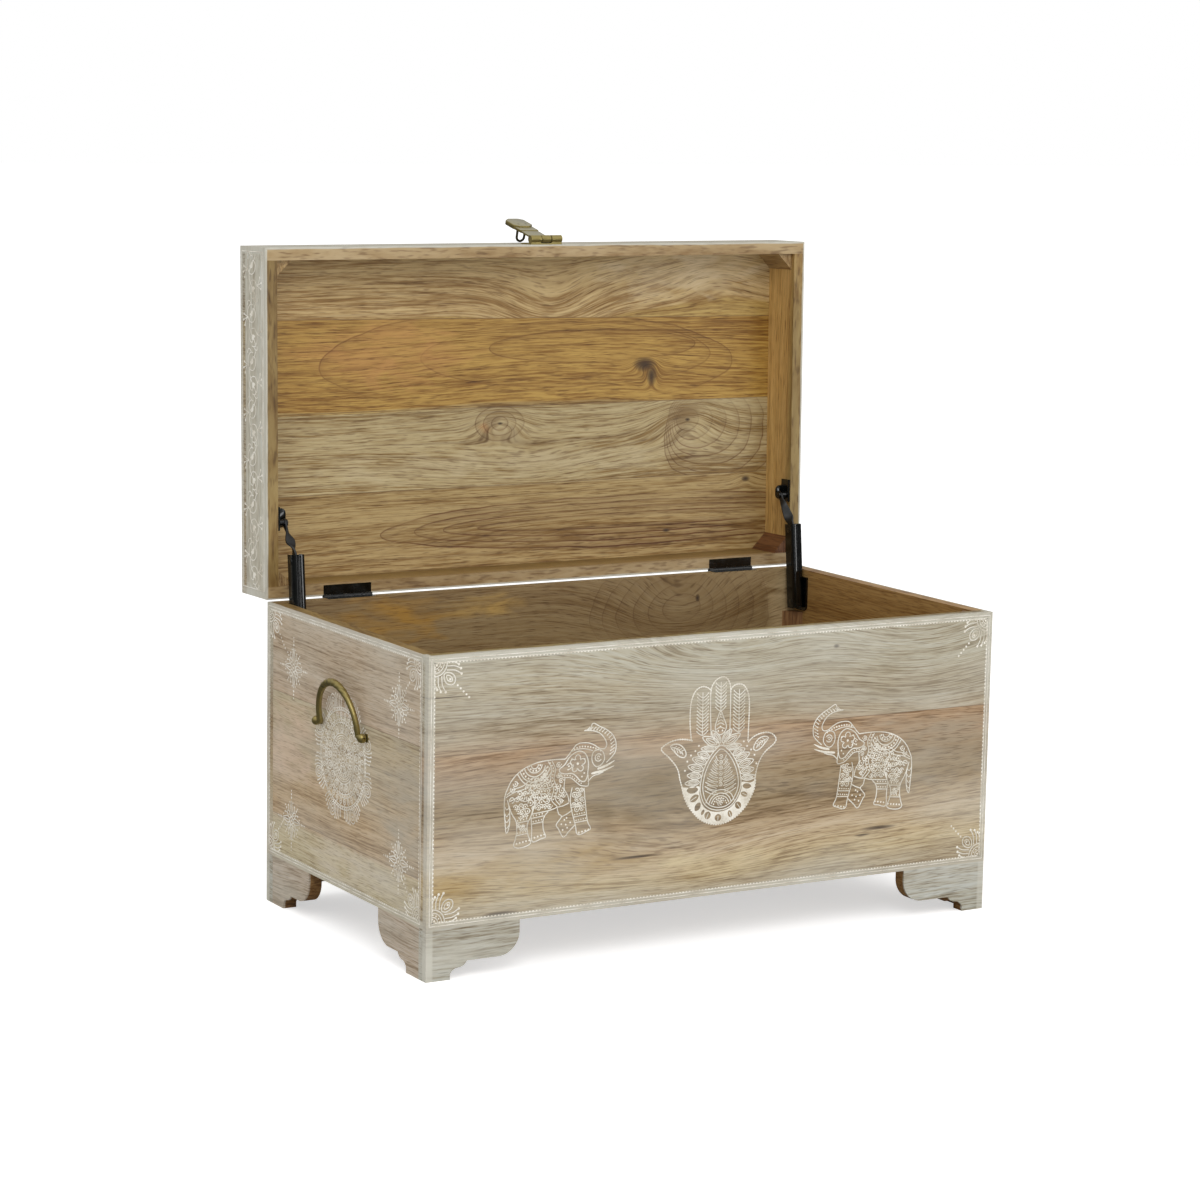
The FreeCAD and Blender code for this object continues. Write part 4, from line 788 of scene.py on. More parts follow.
def lay(name, sheet, place, body):
    """Makes the sheet's paint one mesh, lays it by the place matrix and lets it ride on a body."""
    paths = []
    for points, width, closed in sheet.strokes:
        paths.append((rounded(points, 2.0, closed) if len(points) > 2 else points, width, closed))
    lines = traced(paths, "3D")
    lines.data.bevel_depth = 0.5
    lines.data.bevel_resolution = 0
    lines.data.use_fill_caps = True
    bpy.ops.object.convert(target="MESH")
    lines.data.transform(Matrix.Diagonal((1, 1, 2 * PROUD / LINE, 1)))
    made = [lines]
    if sheet.fills:
        outlines = [outline for fill in sheet.fills for outline in fill]
        shapes = traced([(rounded(outline, 1.5, True), 1.0, True) for outline in outlines], "2D")
        shapes.data.fill_mode = "BOTH"
        shapes.data.extrude = PROUD * 0.8
        bpy.ops.object.convert(target="MESH")
        made.append(shapes)
    if sheet.dots:
        points, faces = [], []
        for centre, across in sheet.dots:
            faces += [[len(points) + i for i in face] for face in DROP_FACES]
            for p in DROP_POINTS:
                height = (p.z * 1.2 - 0.2) * PROUD
                points.append((centre.x + p.x * across, centre.y + p.y * across, height))
        mesh = bpy.data.meshes.new(name)
        mesh.from_pydata(points, [], faces)
        drops = bpy.data.objects.new(name, mesh)
        bpy.context.scene.collection.objects.link(drops)
        made.append(drops)
    paint = joined(*made)
    paint.name = paint.data.name = name
    paint.data.transform(place @ Matrix.Scale(MM, 4))
    face_out(paint)
    paint.data.materials.clear()
    paint.data.materials.append(chalk)
    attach(paint, body)
    print(name, "faces:", len(paint.data.polygons))


# %% Places of the boards
def board_place(along, upward, outward, corner):
    """Matrix from sheet (along, up, out) to the chest."""
    turn = Matrix((along, upward, outward)).transposed().to_4x4()
    return Matrix.Translation(Vector(corner)) @ turn


ON_FRONT = board_place((1, 0, 0), (0, 0, 1), (0, -1, 0), (0, FRONT_Y, 0))
ON_LEFT = board_place((0, -1, 0), (0, 0, 1), (-1, 0, 0), (-HALF_WIDTH, MIDDLE_Y, 0))
ON_RIGHT = board_place((0, 1, 0), (0, 0, 1), (1, 0, 0), (HALF_WIDTH, MIDDLE_Y, 0))
SHUT_TO_OPEN = Matrix.Translation(HINGE) @ SHUT_TURN.inverted().to_4x4()

# %% [markdown]
# ## Corner fans and beaded borders
# The front and both ends have a fine border line with a row of beads inside it. In each corner sits a fan:
# arcs round the corner, three rays with dotted tips to each side, a looped petal on the diagonal and a tail
# of dots. One fan is drawn with its axis along the sheet's first direction and turned into each corner.

# %% Fan and border
fan = Sheet()
for radius, width in ((8.5, 1.5), (13.5, 1.4), (17.3, 1.7)):
    fan.line(arc((0, 0), radius, -44, 44), width)
fan.beads(arc((0, 0), 11, -36, 36), 4.0, 2.2)
fan.dot((5.0, 0), 3.0)
fan.petal([(19.5, 0), (23, 4.6), (29, 6.6), (34.5, 4.6), (37, 0)], 1.6)
fan.petal([(23, 0), (27, 2.8), (31, 2.4), (33, 0)], 1.5)
fan.dot((29.6, 0), 3.2)
FAN_RAYS = [
    [(12.6, 12.0), (18.6, 17.4), (25.5, 19.6)],
    [(16, 8.6), (23.2, 15.0), (31, 18.2)],
    [(18.6, 4.6), (27, 11.6), (36, 14.4)],
]
fan.rays(FAN_RAYS, 1.6, 3.5)
corner_fan = Sheet()
corner_fan.stamp(fan)
for place in (42, 47.5, 53, 58.3, 63.3):
    corner_fan.dot((place, 1.5), 2.9)


def bordered(left, right, low, high, bare_corner=None):
    """Border line, serrated row and corner fans on a board; one fan may go without its dotted tail."""
    sheet = Sheet()
    edge, bead, corner = 4.0, 8.0, 7.0
    for inset, width in ((edge, 1.4), (bead - 0.7, 0.9)):
        for x in (left + inset, right - inset):
            sheet.line([(x, low + inset), (x, high - inset)], width)
        for z in (low + inset, high - inset):
            sheet.line([(left + inset, z), (right - inset, z)], width)
    for x in (left + bead, right - bead):
        sheet.beads([(x, low + bead), (x, high - bead)], 4.9, 2.4)
    for z in (low + bead, high - bead):
        sheet.beads([(left + bead, z), (right - bead, z)], 4.6, 2.4)
    for x, z, heading in ((-1, 1, -45), (1, 1, -135), (-1, -1, 45), (1, -1, 135)):
        spot = (right - corner if x > 0 else left + corner, high - corner if z > 0 else low + corner)
        sheet.stamp(fan if (x, z) == bare_corner else corner_fan, spot, heading)
    return sheet


half_mm, deep_mm = HALF_WIDTH / MM, HALF_DEPTH / MM
low_mm, high_mm = BASE_Z / MM, RIM_Z / MM
lay("paint_front_border", bordered(-half_mm, half_mm, low_mm, high_mm, (-1, -1)), ON_FRONT, "carcass")

# %% [markdown]
# ## The hand
# In the middle of the front is an open hand with its fingers up, an old sign of good luck. It has a beaded
# outline, a feather in each finger, a leaf in each thumb, and a drop with a small arch in its palm. Pointed
# leaves fan out round the drop, and the cuff is a filled crescent in which the petals are left bare.

# %% Fingers and thumbs
hand = Sheet()
for outline in (
    [(-43, 256), (-50, 258), (-60, 259), (-70, 258), (-79, 255), (-86, 250), (-83, 245), (-77, 240),
     (-71, 234), (-65, 227), (-61, 219), (-59, 210), (-56, 201), (-54, 193)],
    [(-44, 257), (-45.5, 268), (-46.5, 282), (-46, 298), (-44, 308), (-39, 317), (-31, 321), (-24, 320),
     (-19, 317)],
    [(-18, 312), (-16, 321), (-10, 328), (-2, 331), (5, 328.5), (9.5, 321), (10.5, 312)],
    [(11, 315), (15, 319), (22, 320.5), (29, 318.5), (34, 312), (37, 303), (37.8, 290), (37.5, 272),
     (37, 250)],
    [(38, 248), (44, 253), (53, 256.5), (63, 257.5), (71, 255.5), (76.5, 251), (77.5, 246), (73, 241),
     (66, 236.5), (59, 230), (54, 222), (51, 214), (49, 205), (48, 196)],
):
    hand.line(outline, 1.3)
    hand.beads(outline, 3.4, 2.3)
hand.line([(-18, 312), (-17.5, 285), (-16, 260)], 1.4)
hand.line([(10.5, 312), (10.8, 285), (10.5, 258)], 1.4)
FEATHERS = ((-28.5, 262, 314, -36.5, -21), (-3, 290, 325, -10.5, 4), (23.5, 262, 314, 15.5, 31))
for spine, low, high, left, right in FEATHERS:
    hand.line([(spine, low), (spine - 0.5, high)], 1.3)
    for step in range(round((high - low) / 4.2)):
        z = low + 4.2 * step
        for side in (left, right):
            hand.line([(spine, z - 1), ((spine + side) / 2, z + 1), (side, z + 4.5)], 1.3)
            hand.dot((side, z + 4.5), 1.8)
bud = [(-3, 289), (-8, 279), (-10.5, 270), (-8, 263), (-3, 260), (3, 263), (5.5, 270), (2, 279)]
hand.line(bud, 1.5, True)
for z, wide in ((281, 2.5), (277, 4.0), (273, 5.5), (268, 6.0)):
    hand.line([(-3 - wide, z - 1), (-3, z + 1.5), (-3 + wide, z - 1)], 1.2)
for place in ((-6, 265), (0, 265), (-3, 270), (-3, 285)):
    hand.dot(place, 2.6)
thumb = Sheet()
leaf = [(0, 0), (5, 4.5), (13, 5.5), (21, 2), (25, -3), (23, -7), (16, -7.5), (8, -4.5)]
thumb.line(leaf, 1.6, True)
thumb.beads(leaf, 3.2, 2.0, True)
thumb.line([(2, 0), (12, -0.5), (21, -4)], 1.3)
for s in (5, 9, 13, 17):
    thumb.line([(s, -0.2), (s + 3.5, 3.6 - s * 0.1)], 1.1)
    thumb.line([(s, -0.2), (s + 4, -4.2)], 1.1)
hand.stamp(thumb, (-73, 251.5), -22, 1.0)
hand.stamp(thumb, (66.5, 250.5), 202, 0.95, mirror=True)
hand.tell("hand with fingers")

# %% Drop in the palm
PALM_X, ARCH_Z, FLOWER_Z = -1, 172.5, 177.5
drop_line = [(-1, 247), (-9, 242.5), (-16, 235), (-22, 226), (-26.5, 216), (-29, 206), (-30, 196),
             (-28, 186), (-24, 177), (-17, 171), (-8, 167.7), (0, 167), (8, 168), (16, 172), (22, 179),
             (27, 189), (28.5, 199), (26.5, 211), (22, 223), (16, 233), (8, 242)]
hand.line(drop_line, 1.5, True)
hand.line([((x - PALM_X) * 0.87 + PALM_X, (z - 205) * 0.9 + 204.5) for x, z in drop_line], 1.4, True)
for step in range(9):
    z = 232 - step * 5.2
    inner, outer = 3.5, min(22.5, 7.5 + step * 2.4)
    for side in (1, -1):
        vein = [(inner, z - 4), ((inner + outer) / 2, z - 2.2), (outer, z + 2.5)]
        hand.line([(PALM_X + side * x, y) for x, y in vein], 1.3)
        if step:
            hand.line([(PALM_X + side * (inner + 2), z - 1.5), (PALM_X + side * outer * 0.85, z + 4)], 1.0)
for z in (233, 226, 219, 212, 205, 199):
    hand.line(arc((PALM_X, z), 2.4, 200, 520), 1.2)
    hand.dot((PALM_X, z), 1.8)
ARCH_ANGLES = (0.25, 0.7, 1.15, math.pi / 2, 2.0, 2.45, 2.9)
for radius in (21, 16.5, 13):
    bow = [(PALM_X + radius * math.cos(a), ARCH_Z + radius * 0.93 * math.sin(a)) for a in ARCH_ANGLES]
    hand.line(bow, 1.4)
hand.beads(arc((PALM_X, ARCH_Z), 9.6, 15, 165), 3.6, 2.2)
for angle in range(0, 360, 60):
    a = math.radians(angle)
    hand.line(arc((PALM_X + 3.4 * math.cos(a), FLOWER_Z + 3.4 * math.sin(a)), 1.7, 0, 300), 1.0)
hand.dot((PALM_X, FLOWER_Z), 2.4)
hand.tell("hand with its drop")


# %% Leaves round the drop
def nested(sheet, base, tip, wide, rows=2):
    """A pointed leaf with smaller ones inside it and a rib."""
    base, tip = Vector(base), Vector(tip)
    across = Vector((base.y - tip.y, tip.x - base.x)).normalized() * wide / 2
    for row in range(rows):
        low, high = base.lerp(tip, 0.14 * row), tip.lerp(base, 0.2 * row)
        side = across * (1 - 0.42 * row)
        near, far = (low.lerp(high, s) for s in (0.3, 0.65))
        leaf = [low, near + side, far + side * 0.9, high, far - side * 0.9, near - side]
        sheet.line(leaf, 1.6 - 0.3 * row, True)
    sheet.line([base.lerp(tip, 0.25), base.lerp(tip, 0.7)], 1.2)


for side in (1, -1):
    for base, tip, wide in (
        ((3, 247), (27, 259), 10), ((1.5, 250), (14, 266), 8), ((7, 243), (29, 245), 7),
        ((17, 234), (34, 240), 8), ((21, 227), (41, 234), 9), ((25, 219), (47, 225), 9),
        ((28, 211), (48, 214), 8), ((30, 204), (51, 204), 7),
    ):
        nested(hand, (PALM_X + side * base[0], base[1]), (PALM_X + side * tip[0], tip[1]), wide)
    for x, z in ((32, 249), (37, 243), (43, 238), (48, 231), (51, 220)):
        hand.dot((PALM_X + side * x, z), 2.8)
hand.tell("hand with leaves")

# %% Cuff
cuff = [(-55, 199), (-52, 188), (-47, 178), (-40, 169), (-31, 160), (-21, 154), (-10, 150.5), (-2, 150),
        (7, 151), (17, 154.5), (27, 160.5), (36, 169), (42, 178), (47, 188), (49, 199), (42, 197), (30, 199),
        (29.5, 192), (27, 184), (22, 176), (15, 169.5), (7, 166), (-1, 165), (-9, 165.5), (-18, 168.5),
        (-25, 174), (-29, 182), (-31, 190), (-31.5, 199), (-42, 198)]
holes = []
EYE = ((-1, 0), (-0.55, 0.8), (0, 1), (0.55, 0.8), (1, 0), (0.55, -0.8), (0, -1), (-0.55, -0.8))
for x, z, angle, long, wide, rib in (
    (-41, 195.3, 0, 16.5, 8.6, 0), (-38, 184.8, 28, 14, 8, 1), (-33, 174, 55, 12, 7.6, 0),
    (-25.5, 166.5, 60, 8, 4, 0), (-18.5, 162, 68, 10, 9, 1), (-3.5, 157.8, 90, 9.2, 9.6, 1),
    (13.5, 161, 112, 9.6, 6.2, 1), (25, 170.5, 130, 10.4, 8.4, 1), (33.5, 183.5, 155, 10.8, 6.2, 1),
    (37, 193.3, 172, 13, 6.8, 0),
):
    a = math.radians(angle)
    ahead = Vector((math.cos(a), math.sin(a))) * long / 2
    aside = Vector((-math.sin(a), math.cos(a))) * wide / 2
    middle = Vector((x, z))
    holes.append([middle + ahead * s + aside * t for s, t in EYE])
    if rib:
        hand.line([middle - ahead, middle + ahead * 0.5], 1.1)
hand.fill(cuff, *holes)
outer_edge = cuff[:15]
hand.beads(outer_edge, 3.5, 3.4)
lay("paint_front_hand", hand, ON_FRONT, "carcass")

# %% [markdown]
# ## The elephants
# Left and right of the hand walk two elephants in festive dress, trunks raised. Outline, ear, tusks and
# anklets are given one by one. The cloth over the body is close filigree: small curls and dots, set on an
# uneven grid inside each field, as a painter fills a space.

# %% Outline
elephant = Sheet()
for outline in (
    [(-193, 281), (-186, 282), (-184, 283.5), (-181, 289), (-172, 284.5), (-163, 280), (-155, 274),
     (-150, 266), (-149, 258), (-150.5, 251), (-156, 245), (-162, 240)],
    [(-193, 281), (-182, 280), (-173, 277), (-167, 272), (-163, 266), (-162, 261), (-165, 257), (-172, 258),
     (-178, 262), (-186, 265.5), (-196, 266.5), (-203, 265), (-208, 260), (-214, 253), (-218, 249)],
    [(-218, 249), (-232, 249.5), (-248, 249), (-260, 247), (-272, 243), (-282, 237), (-290, 229),
     (-295, 220), (-298, 213), (-299, 205)],
    [(-299, 205), (-299, 195), (-298, 184), (-297, 174), (-296, 167), (-293, 172), (-291.5, 182),
     (-292, 195), (-295, 207)],
    [(-294, 203), (-289, 190), (-283, 180), (-282, 168), (-284, 158), (-286, 151), (-280, 148), (-270, 149),
     (-263, 153), (-267, 163), (-268, 175), (-263, 185), (-260, 196)],
    [(-263, 183), (-262, 170), (-261, 154), (-250, 156), (-243, 158), (-246, 166), (-247, 176), (-245, 183),
     (-240, 188)],
    [(-262, 187), (-245, 188.5), (-235, 190), (-228, 192), (-220, 193), (-212, 196)],
    [(-208, 214), (-210, 205), (-210, 195), (-208, 185), (-205, 175), (-202.5, 166), (-201, 158),
     (-196, 156), (-188, 159), (-182, 162), (-186, 170), (-188, 180), (-190, 195), (-192, 212)],
    [(-228, 191), (-226, 184), (-222, 180), (-229, 171), (-226, 166), (-219, 155), (-212, 161), (-203, 169)],
    [(-222, 180), (-214, 183), (-207, 187)],
    [(-187, 219), (-180, 225), (-172, 227), (-166, 229)],
    [(-187, 228), (-186, 215), (-191, 214)],
):
    elephant.line(outline, 1.5)
elephant.tell("elephant's outline")

# %% Ear, tusks and head
ear = [(-218, 243), (-213, 250), (-206, 255), (-199, 257), (-192, 254), (-188, 248), (-186.5, 240),
       (-187, 232), (-188, 225), (-191, 220), (-197, 221), (-203, 227), (-209, 231), (-217, 231),
       (-224, 233), (-226, 237), (-222, 240)]
elephant.line(ear, 1.7, True)
elephant.line([(-228, 232), (-220, 227), (-211, 226), (-204, 221), (-197, 215.5), (-190, 214)], 1.3)
elephant.beads([(-226, 229), (-219, 229), (-211, 228.5), (-203, 223), (-196, 218)], 3.6, 1.8)
EAR_X, EAR_Z = -201, 242
for angle in range(0, 360, 72):
    a = math.radians(angle + 18)
    curl = (EAR_X + 7 * math.cos(a), EAR_Z + 7 * math.sin(a))
    elephant.line(arc(curl, 3.6, angle - 100, angle + 150), 1.4)
elephant.dot((EAR_X, EAR_Z), 3.4)
for place in ((-213, 240), (-214, 236), (-208, 236), (-192, 230), (-195, 226), (-209, 248), (-192, 247)):
    elephant.dot(place, 2.4)
elephant.line([(-216, 241), (-211, 244), (-209, 239), (-213, 236)], 1.2)
for inner, outer in (((-173, 233.5), (-150, 242)), ((-181, 228.5), (-150.5, 235.5))):
    inner, outer = Vector(inner), Vector(outer)
    run = outer - inner
    across = Vector((-run.y, run.x)).normalized()
    root, belly = across * 1.2, across * 1.3
    middle = inner + run * 0.5 - root
    elephant.fill([inner + root, middle + belly, outer, middle - belly, inner - root])
cheek = [(-182, 247), (-180, 254), (-174, 256.5), (-168, 254.5), (-165, 249), (-165, 243), (-169, 238),
         (-175, 236), (-180, 240)]
elephant.line(cheek, 1.4, True)
CHEEK = (-173, 247)
elephant.line(arc(CHEEK, 4.5, 30, 330), 1.4)
elephant.line(arc(CHEEK, 1.9, 0, 300), 1.2)
elephant.beads([(-206, 260), (-198, 262), (-189, 261.5), (-180, 259.5), (-170, 255)], 3.8, 2.4)
elephant.line([(-209, 257.5), (-199, 259.5), (-189, 258.5), (-181, 256)], 1.3)
trunk_under = [(-188, 282), (-175, 280.5), (-165, 276), (-158, 269), (-155.5, 260), (-157, 250)]
trunk_over = [(-185, 285), (-171, 283), (-160, 278), (-152, 268), (-150.5, 259), (-153, 249)]
for under, over in zip(rounded(trunk_under, 4.2), rounded(trunk_over, 4.2)):
    elephant.line([under, over], 1.2)
    elephant.dot(under, 2.0)
elephant.tell("elephant with its head")

# %% Straps, anklets and tail
for points in (
    [(-296, 213), (-286, 219), (-274, 222), (-264, 229), (-252, 233), (-241, 243)],
    [(-297, 210), (-285, 215.5), (-272, 218), (-262, 225), (-250, 229), (-238, 239)],
    [(-262, 187), (-258, 200), (-262, 212), (-266, 223)],
    [(-241, 248), (-236, 238), (-238, 226), (-233, 214), (-236, 202), (-228, 193)],
    [(-236, 248), (-231, 238), (-233, 226), (-228, 214), (-231, 203), (-224, 194)],
    [(-218, 226), (-219, 214), (-214, 205), (-212, 197)],
    [(-291, 205), (-281, 208), (-272, 203), (-264, 206)],
    [(-262, 208), (-250, 205), (-240, 208)],
):
    elephant.line(points, 1.3)
elephant.beads([(-238.5, 246), (-233.5, 238), (-235.5, 226), (-230.5, 214), (-233.5, 202)], 3.8, 2.2)
for low, left, right in (
    (178, -283, -267), (163, -283, -268), (182, -262, -246), (175, -262, -247),
    (178, -206, -189), (171, -204, -187), (190, -210, -190),
):
    elephant.line([(left, low), (right, low + 1.5)], 1.4)
    elephant.beads([(left + 2, low + 2.8), (right - 2, low + 4.2)], 3.6, 2.0)
for z in (199, 191, 184, 177):
    elephant.line([(-298, z), (-295.5, z - 4), (-292.5, z)], 1.1)
for place in ((-218, 176), (-222, 171), (-216, 170), (-220, 164), (-214, 166), (-215, 178), (-210, 172)):
    elephant.dot(place, 2.4)
for left, right, toes in ((-282, -265, 153.5), (-258, -245, 158.5), (-198, -185, 158.5)):
    elephant.beads([(left, toes), (right, toes + 2.5)], 4.6, 2.6)
elephant.tell("elephant with straps")


# %% Filigree
def inside(p, outline):
    """Whether a point lies inside a closed outline."""
    hits = 0
    for (x0, y0), (x1, y1) in zip(outline, outline[1:] + outline[:1]):
        if (y0 > p[1]) != (y1 > p[1]) and p[0] < x0 + (x1 - x0) * (p[1] - y0) / (y1 - y0):
            hits += 1
    return hits % 2 == 1


def filigree(sheet, outline, pitch, seed):
    """Fills an outline with curls and dots on an uneven grid."""
    chance = random.Random(seed)
    xs, zs = [p[0] for p in outline], [p[1] for p in outline]
    row = 0
    z = min(zs) + pitch / 2
    while z < max(zs):
        x = min(xs) + pitch * (0.5 if row % 2 else 1.0)
        while x < max(xs):
            spot = (x + chance.uniform(-0.7, 0.7), z + chance.uniform(-0.7, 0.7))
            if inside(spot, outline):
                turn, r = chance.uniform(0, 360), pitch * chance.uniform(0.36, 0.46)
                sheet.line(arc(spot, r, turn, turn + 300), 1.5)
                sheet.dot(spot, chance.uniform(2.0, 2.8))
                sheet.dot((spot[0] + pitch / 2, spot[1] + 0.3), 1.6)
            x += pitch
        z += pitch * 0.87
        row += 1


SADDLE = (-259, 246)
for radius, start, end in ((5, 180, 360), (10, 186, 356), (14.5, 192, 352), (21, 198, 346), (25, 202, 336)):
    elephant.line(arc(SADDLE, radius, start, end), 1.6)
for radius, start, end in ((7.5, 190, 350), (17.8, 198, 345)):
    elephant.beads(arc(SADDLE, radius, start, end), 4.6, 2.8)
for outline, pitch, seed in (
    ([(-295, 215), (-276, 222), (-268, 220), (-283, 226), (-287, 231), (-291, 226)], 7.0, 3),
    ([(-297, 207), (-285, 213), (-264, 222), (-240, 236), (-238, 226), (-235, 214), (-239, 203), (-231, 195),
      (-262, 190), (-266, 200), (-284, 204)], 7.4, 5),
    ([(-229, 246), (-221, 246), (-228, 233), (-219, 225), (-220, 214), (-214, 200), (-222, 196), (-228, 204),
      (-226, 214), (-230, 226)], 7.0, 7),
    ([(-208, 212), (-208, 196), (-205, 184), (-191, 184), (-193, 198), (-194, 211)], 6.6, 9),
    ([(-291, 200), (-281, 182), (-268, 182), (-263, 194), (-268, 202)], 6.8, 11),
    ([(-282, 176), (-282, 167), (-269, 167), (-269, 176)], 5.2, 12),
):
    filigree(elephant, outline, pitch, seed)
lay("paint_front_elephant_left", elephant, ON_FRONT, "carcass")
twin = Sheet()
twin.stamp(elephant, (-17, -5), 180, 1.0, mirror=True)
lay("paint_front_elephant_right", twin, ON_FRONT, "carcass")
# %% [markdown]
# ## The ends: rosette and stars
# Each end has a large round rosette behind its handle and a four-armed star in each quarter. Both are built
# by turning a few strokes round a centre: rings, rows of dots and petals, and a rayed lobe, eight times.

# %% Rosette
rosette = Sheet()
for radius, width in (
    (5, 1.34), (10, 1.34), (18, 1.51), (22.5, 1.34), (28, 1.34),
    (31, 1.51), (44, 1.51), (48, 1.34), (59, 1.51), (62.5, 1.34),
):
    rosette.ring(radius, width)
rosette.dot((0, 0), 5.0)
DOT_RINGS = ((9, 7.5, 2.6), (26, 20.2, 2.8), (38, 25.2, 2.6), (60, 46, 2.4), (76, 60.8, 2.6))
for count, radius, across in DOT_RINGS:
    for place, heading in around(count, radius):
        rosette.dot(place, across)
narrow_petal = Sheet()
narrow_petal.petal([(0, 0), (4, 2.9), (8, 0)], 1.34)
narrow_petal.dot((3.8, 0), 2.4)
wide_petal = Sheet()
wide_petal.petal([(0, 0), (5, 5), (10.5, 4.6), (13, 0)], 1.43)
wide_petal.petal([(1.5, 0), (5.5, 2.6), (10, 0)], 1.26)
wide_petal.dot((5.8, 0), 2.6)
lobe = Sheet()
lobe.petal([(0, 0), (3, 4.2), (9, 6.6), (14.5, 5.4), (17.5, 0)], 1.6)
lobe.petal([(2.5, 0), (6.5, 3.2), (11, 3), (13.5, 0)], 1.34)
lobe.dot((8.8, 0), 3.2)
LOBE_RAYS = [
    [(0.5, 6), (7, 9.4), (16, 10)],
    [(0, 10), (6, 13.4), (13.5, 14.6)],
    [(-1.5, 14), (4, 17.4), (10, 19)],
    [(-3, 18), (1, 21), (5.5, 22.5)],
]
lobe.rays(LOBE_RAYS, 1.51, 2.86)
PETAL_RINGS = ((8, 10, narrow_petal), (17, 31.2, wide_petal), (32, 49, narrow_petal), (8, 63, lobe))
for count, radius, kind in PETAL_RINGS:
    for place, heading in around(count, radius, 0.5):
        rosette.stamp(kind, place, heading)
rosette.tell("rosette")

# %% Star
star = Sheet()
star.ring(4.5, 1.43)
star.dot((0, 0), 3.4)
arm = Sheet()
arm.petal([(5, 0), (10, 4), (18, 2.6), (25, 0)], 1.51)
arm.line([(8, 0), (21, 0)], 1.43)
for place, across in ((29, 3.6), (33.5, 3.0), (38, 2.4)):
    arm.dot((place, 0), across)
for side in (1, -1):
    arm.line([(9, side * 4.5), (13, side * 8.5), (18, side * 8.5)], 1.43)
    arm.dot((18.5, side * 8.5), 3.0)
    arm.dot((23, side * 4.5), 2.4)
point = Sheet()
point.petal([(4, 0), (9.5, 3.4), (16, 0)], 1.43)
for place, across in ((9.5, 2.8), (20, 3.2), (24.5, 2.6)):
    point.dot((place, 0), across)
for heading in range(0, 360, 90):
    star.stamp(arm, heading=heading)
    star.stamp(point, heading=45 + heading)
star.tell("star")

# %% Painted ends
end_sheet = bordered(-deep_mm, deep_mm - 12, low_mm, high_mm)
end_sheet.stamp(rosette, (-2, 224))
for spot in ((-142, 312), (146, 315), (-147, 118), (148, 129)):
    end_sheet.stamp(star, spot)
lay("paint_left_end", end_sheet, ON_LEFT, "carcass")
right_sheet = Sheet()
right_sheet.stamp(end_sheet, (0, 0), 180, 1.0, mirror=True)
lay("paint_right_end", right_sheet, ON_RIGHT, "carcass")

# %% [markdown]
# ## The vine on the lid's ends
# A wavy stem runs along each end of the lid between fine lines. One sprig is drawn, with a curl, a bud and
# three dotted shoots, and set at every half wave of the stem, up and down by turns.

# %% Vine
VINE_START, VINE_END = -438.0, -8.0
VINE_MIDDLE, VINE_PERIOD = 40, 60.0
vine = Sheet()
stem = []
s = VINE_START + 6
while s <= VINE_END - 6:
    stem.append((s, VINE_MIDDLE + 10 * math.sin(2 * math.pi * s / VINE_PERIOD)))
    s += 6
vine.line(stem, 1.7)
left, right, low, high = VINE_START + 3, VINE_END - 3, 8.0, 72.0
for z in (low, 11.5, high):
    vine.line([(left, z), (right, z)], 1.4)
for s in (left, right):
    vine.line([(s, low), (s, high)], 1.4)
sprig = Sheet()
sprig.line(arc((0, 0), 11.5, -95, 200), 1.6)
sprig.line([(-1, -11.4), (-5.5, -8.5), (-6, -3.5), (-2.5, -1)], 1.4)
sprig.fill([(-3, -3.5), (1.5, -3.6), (4, 0.5), (1.5, 5.8), (-0.5, 2.2), (-3.4, 0)])
sprig.line([(-11, 1), (-15.5, 6), (-14.5, 11.5), (-10, 13)], 1.4)
for tip in ((1.5, 22.5), (9, 24), (15.5, 20)):
    sprig.line([(5, 10.5), (5 + 0.4 * (tip[0] - 5), 16.5), tip], 1.4)
    sprig.dot(tip, 3.6)
s = VINE_START + 20
way = 1
while s < VINE_END - 18:
    vine.stamp(sprig, (s, VINE_MIDDLE + way * 2.5), 0 if way > 0 else 180)
    s += VINE_PERIOD / 2
    way = -way
lid_left = SHUT_TO_OPEN @ board_place((0, 1, 0), (0, 0, 1), (-1, 0, 0), (-HALF_WIDTH, 0, 0))
lid_right = SHUT_TO_OPEN @ board_place((0, 1, 0), (0, 0, 1), (1, 0, 0), (HALF_WIDTH, 0, 0))
lay("paint_lid_left", vine, lid_left, "lid")
lay("paint_lid_right", vine, lid_right, "lid")

# %% [markdown]
# ## Pressed parts of the lid stays
# The frame has the stays as plain sheet parts. On the real chest each arm is a pressed channel with round
# corners and a sunk bead down its web, and the link is a flat bar that swells and twists between its eyes.
# Both are modelled upright at their pivot, in metres, and then turned into place, because operators are
# easiest to aim along the axes. The right-hand pieces are copies, whose place is mirrored.

# %% Blocks and rods to start from
def block(name, low, high):
    """A cube primitive stretched between two corners, alone in the selection."""
    pick()
    middle = [(a + b) / 2 for a, b in zip(low, high)]
    bpy.ops.mesh.primitive_cube_add(size=1, location=middle)
    piece = bpy.context.object
    piece.scale = [b - a for a, b in zip(low, high)]
    bpy.ops.object.transform_apply(location=True, rotation=False, scale=True)
    piece.name = piece.data.name = name
    return piece


def rod(sides, radius, depth, height=0.0):
    """A cylinder primitive that lies along x at a height, alone in the selection."""
    pick()
    size = {"vertices": sides, "radius": radius, "depth": depth}
    bpy.ops.mesh.primitive_cylinder_add(**size, location=(0, 0, height), rotation=(0, math.pi / 2, 0))
    bpy.ops.object.transform_apply()
    return bpy.context.object


# %% Edit operators and modifiers
SOFT = {"segments": 2, "limit_method": "ANGLE"}


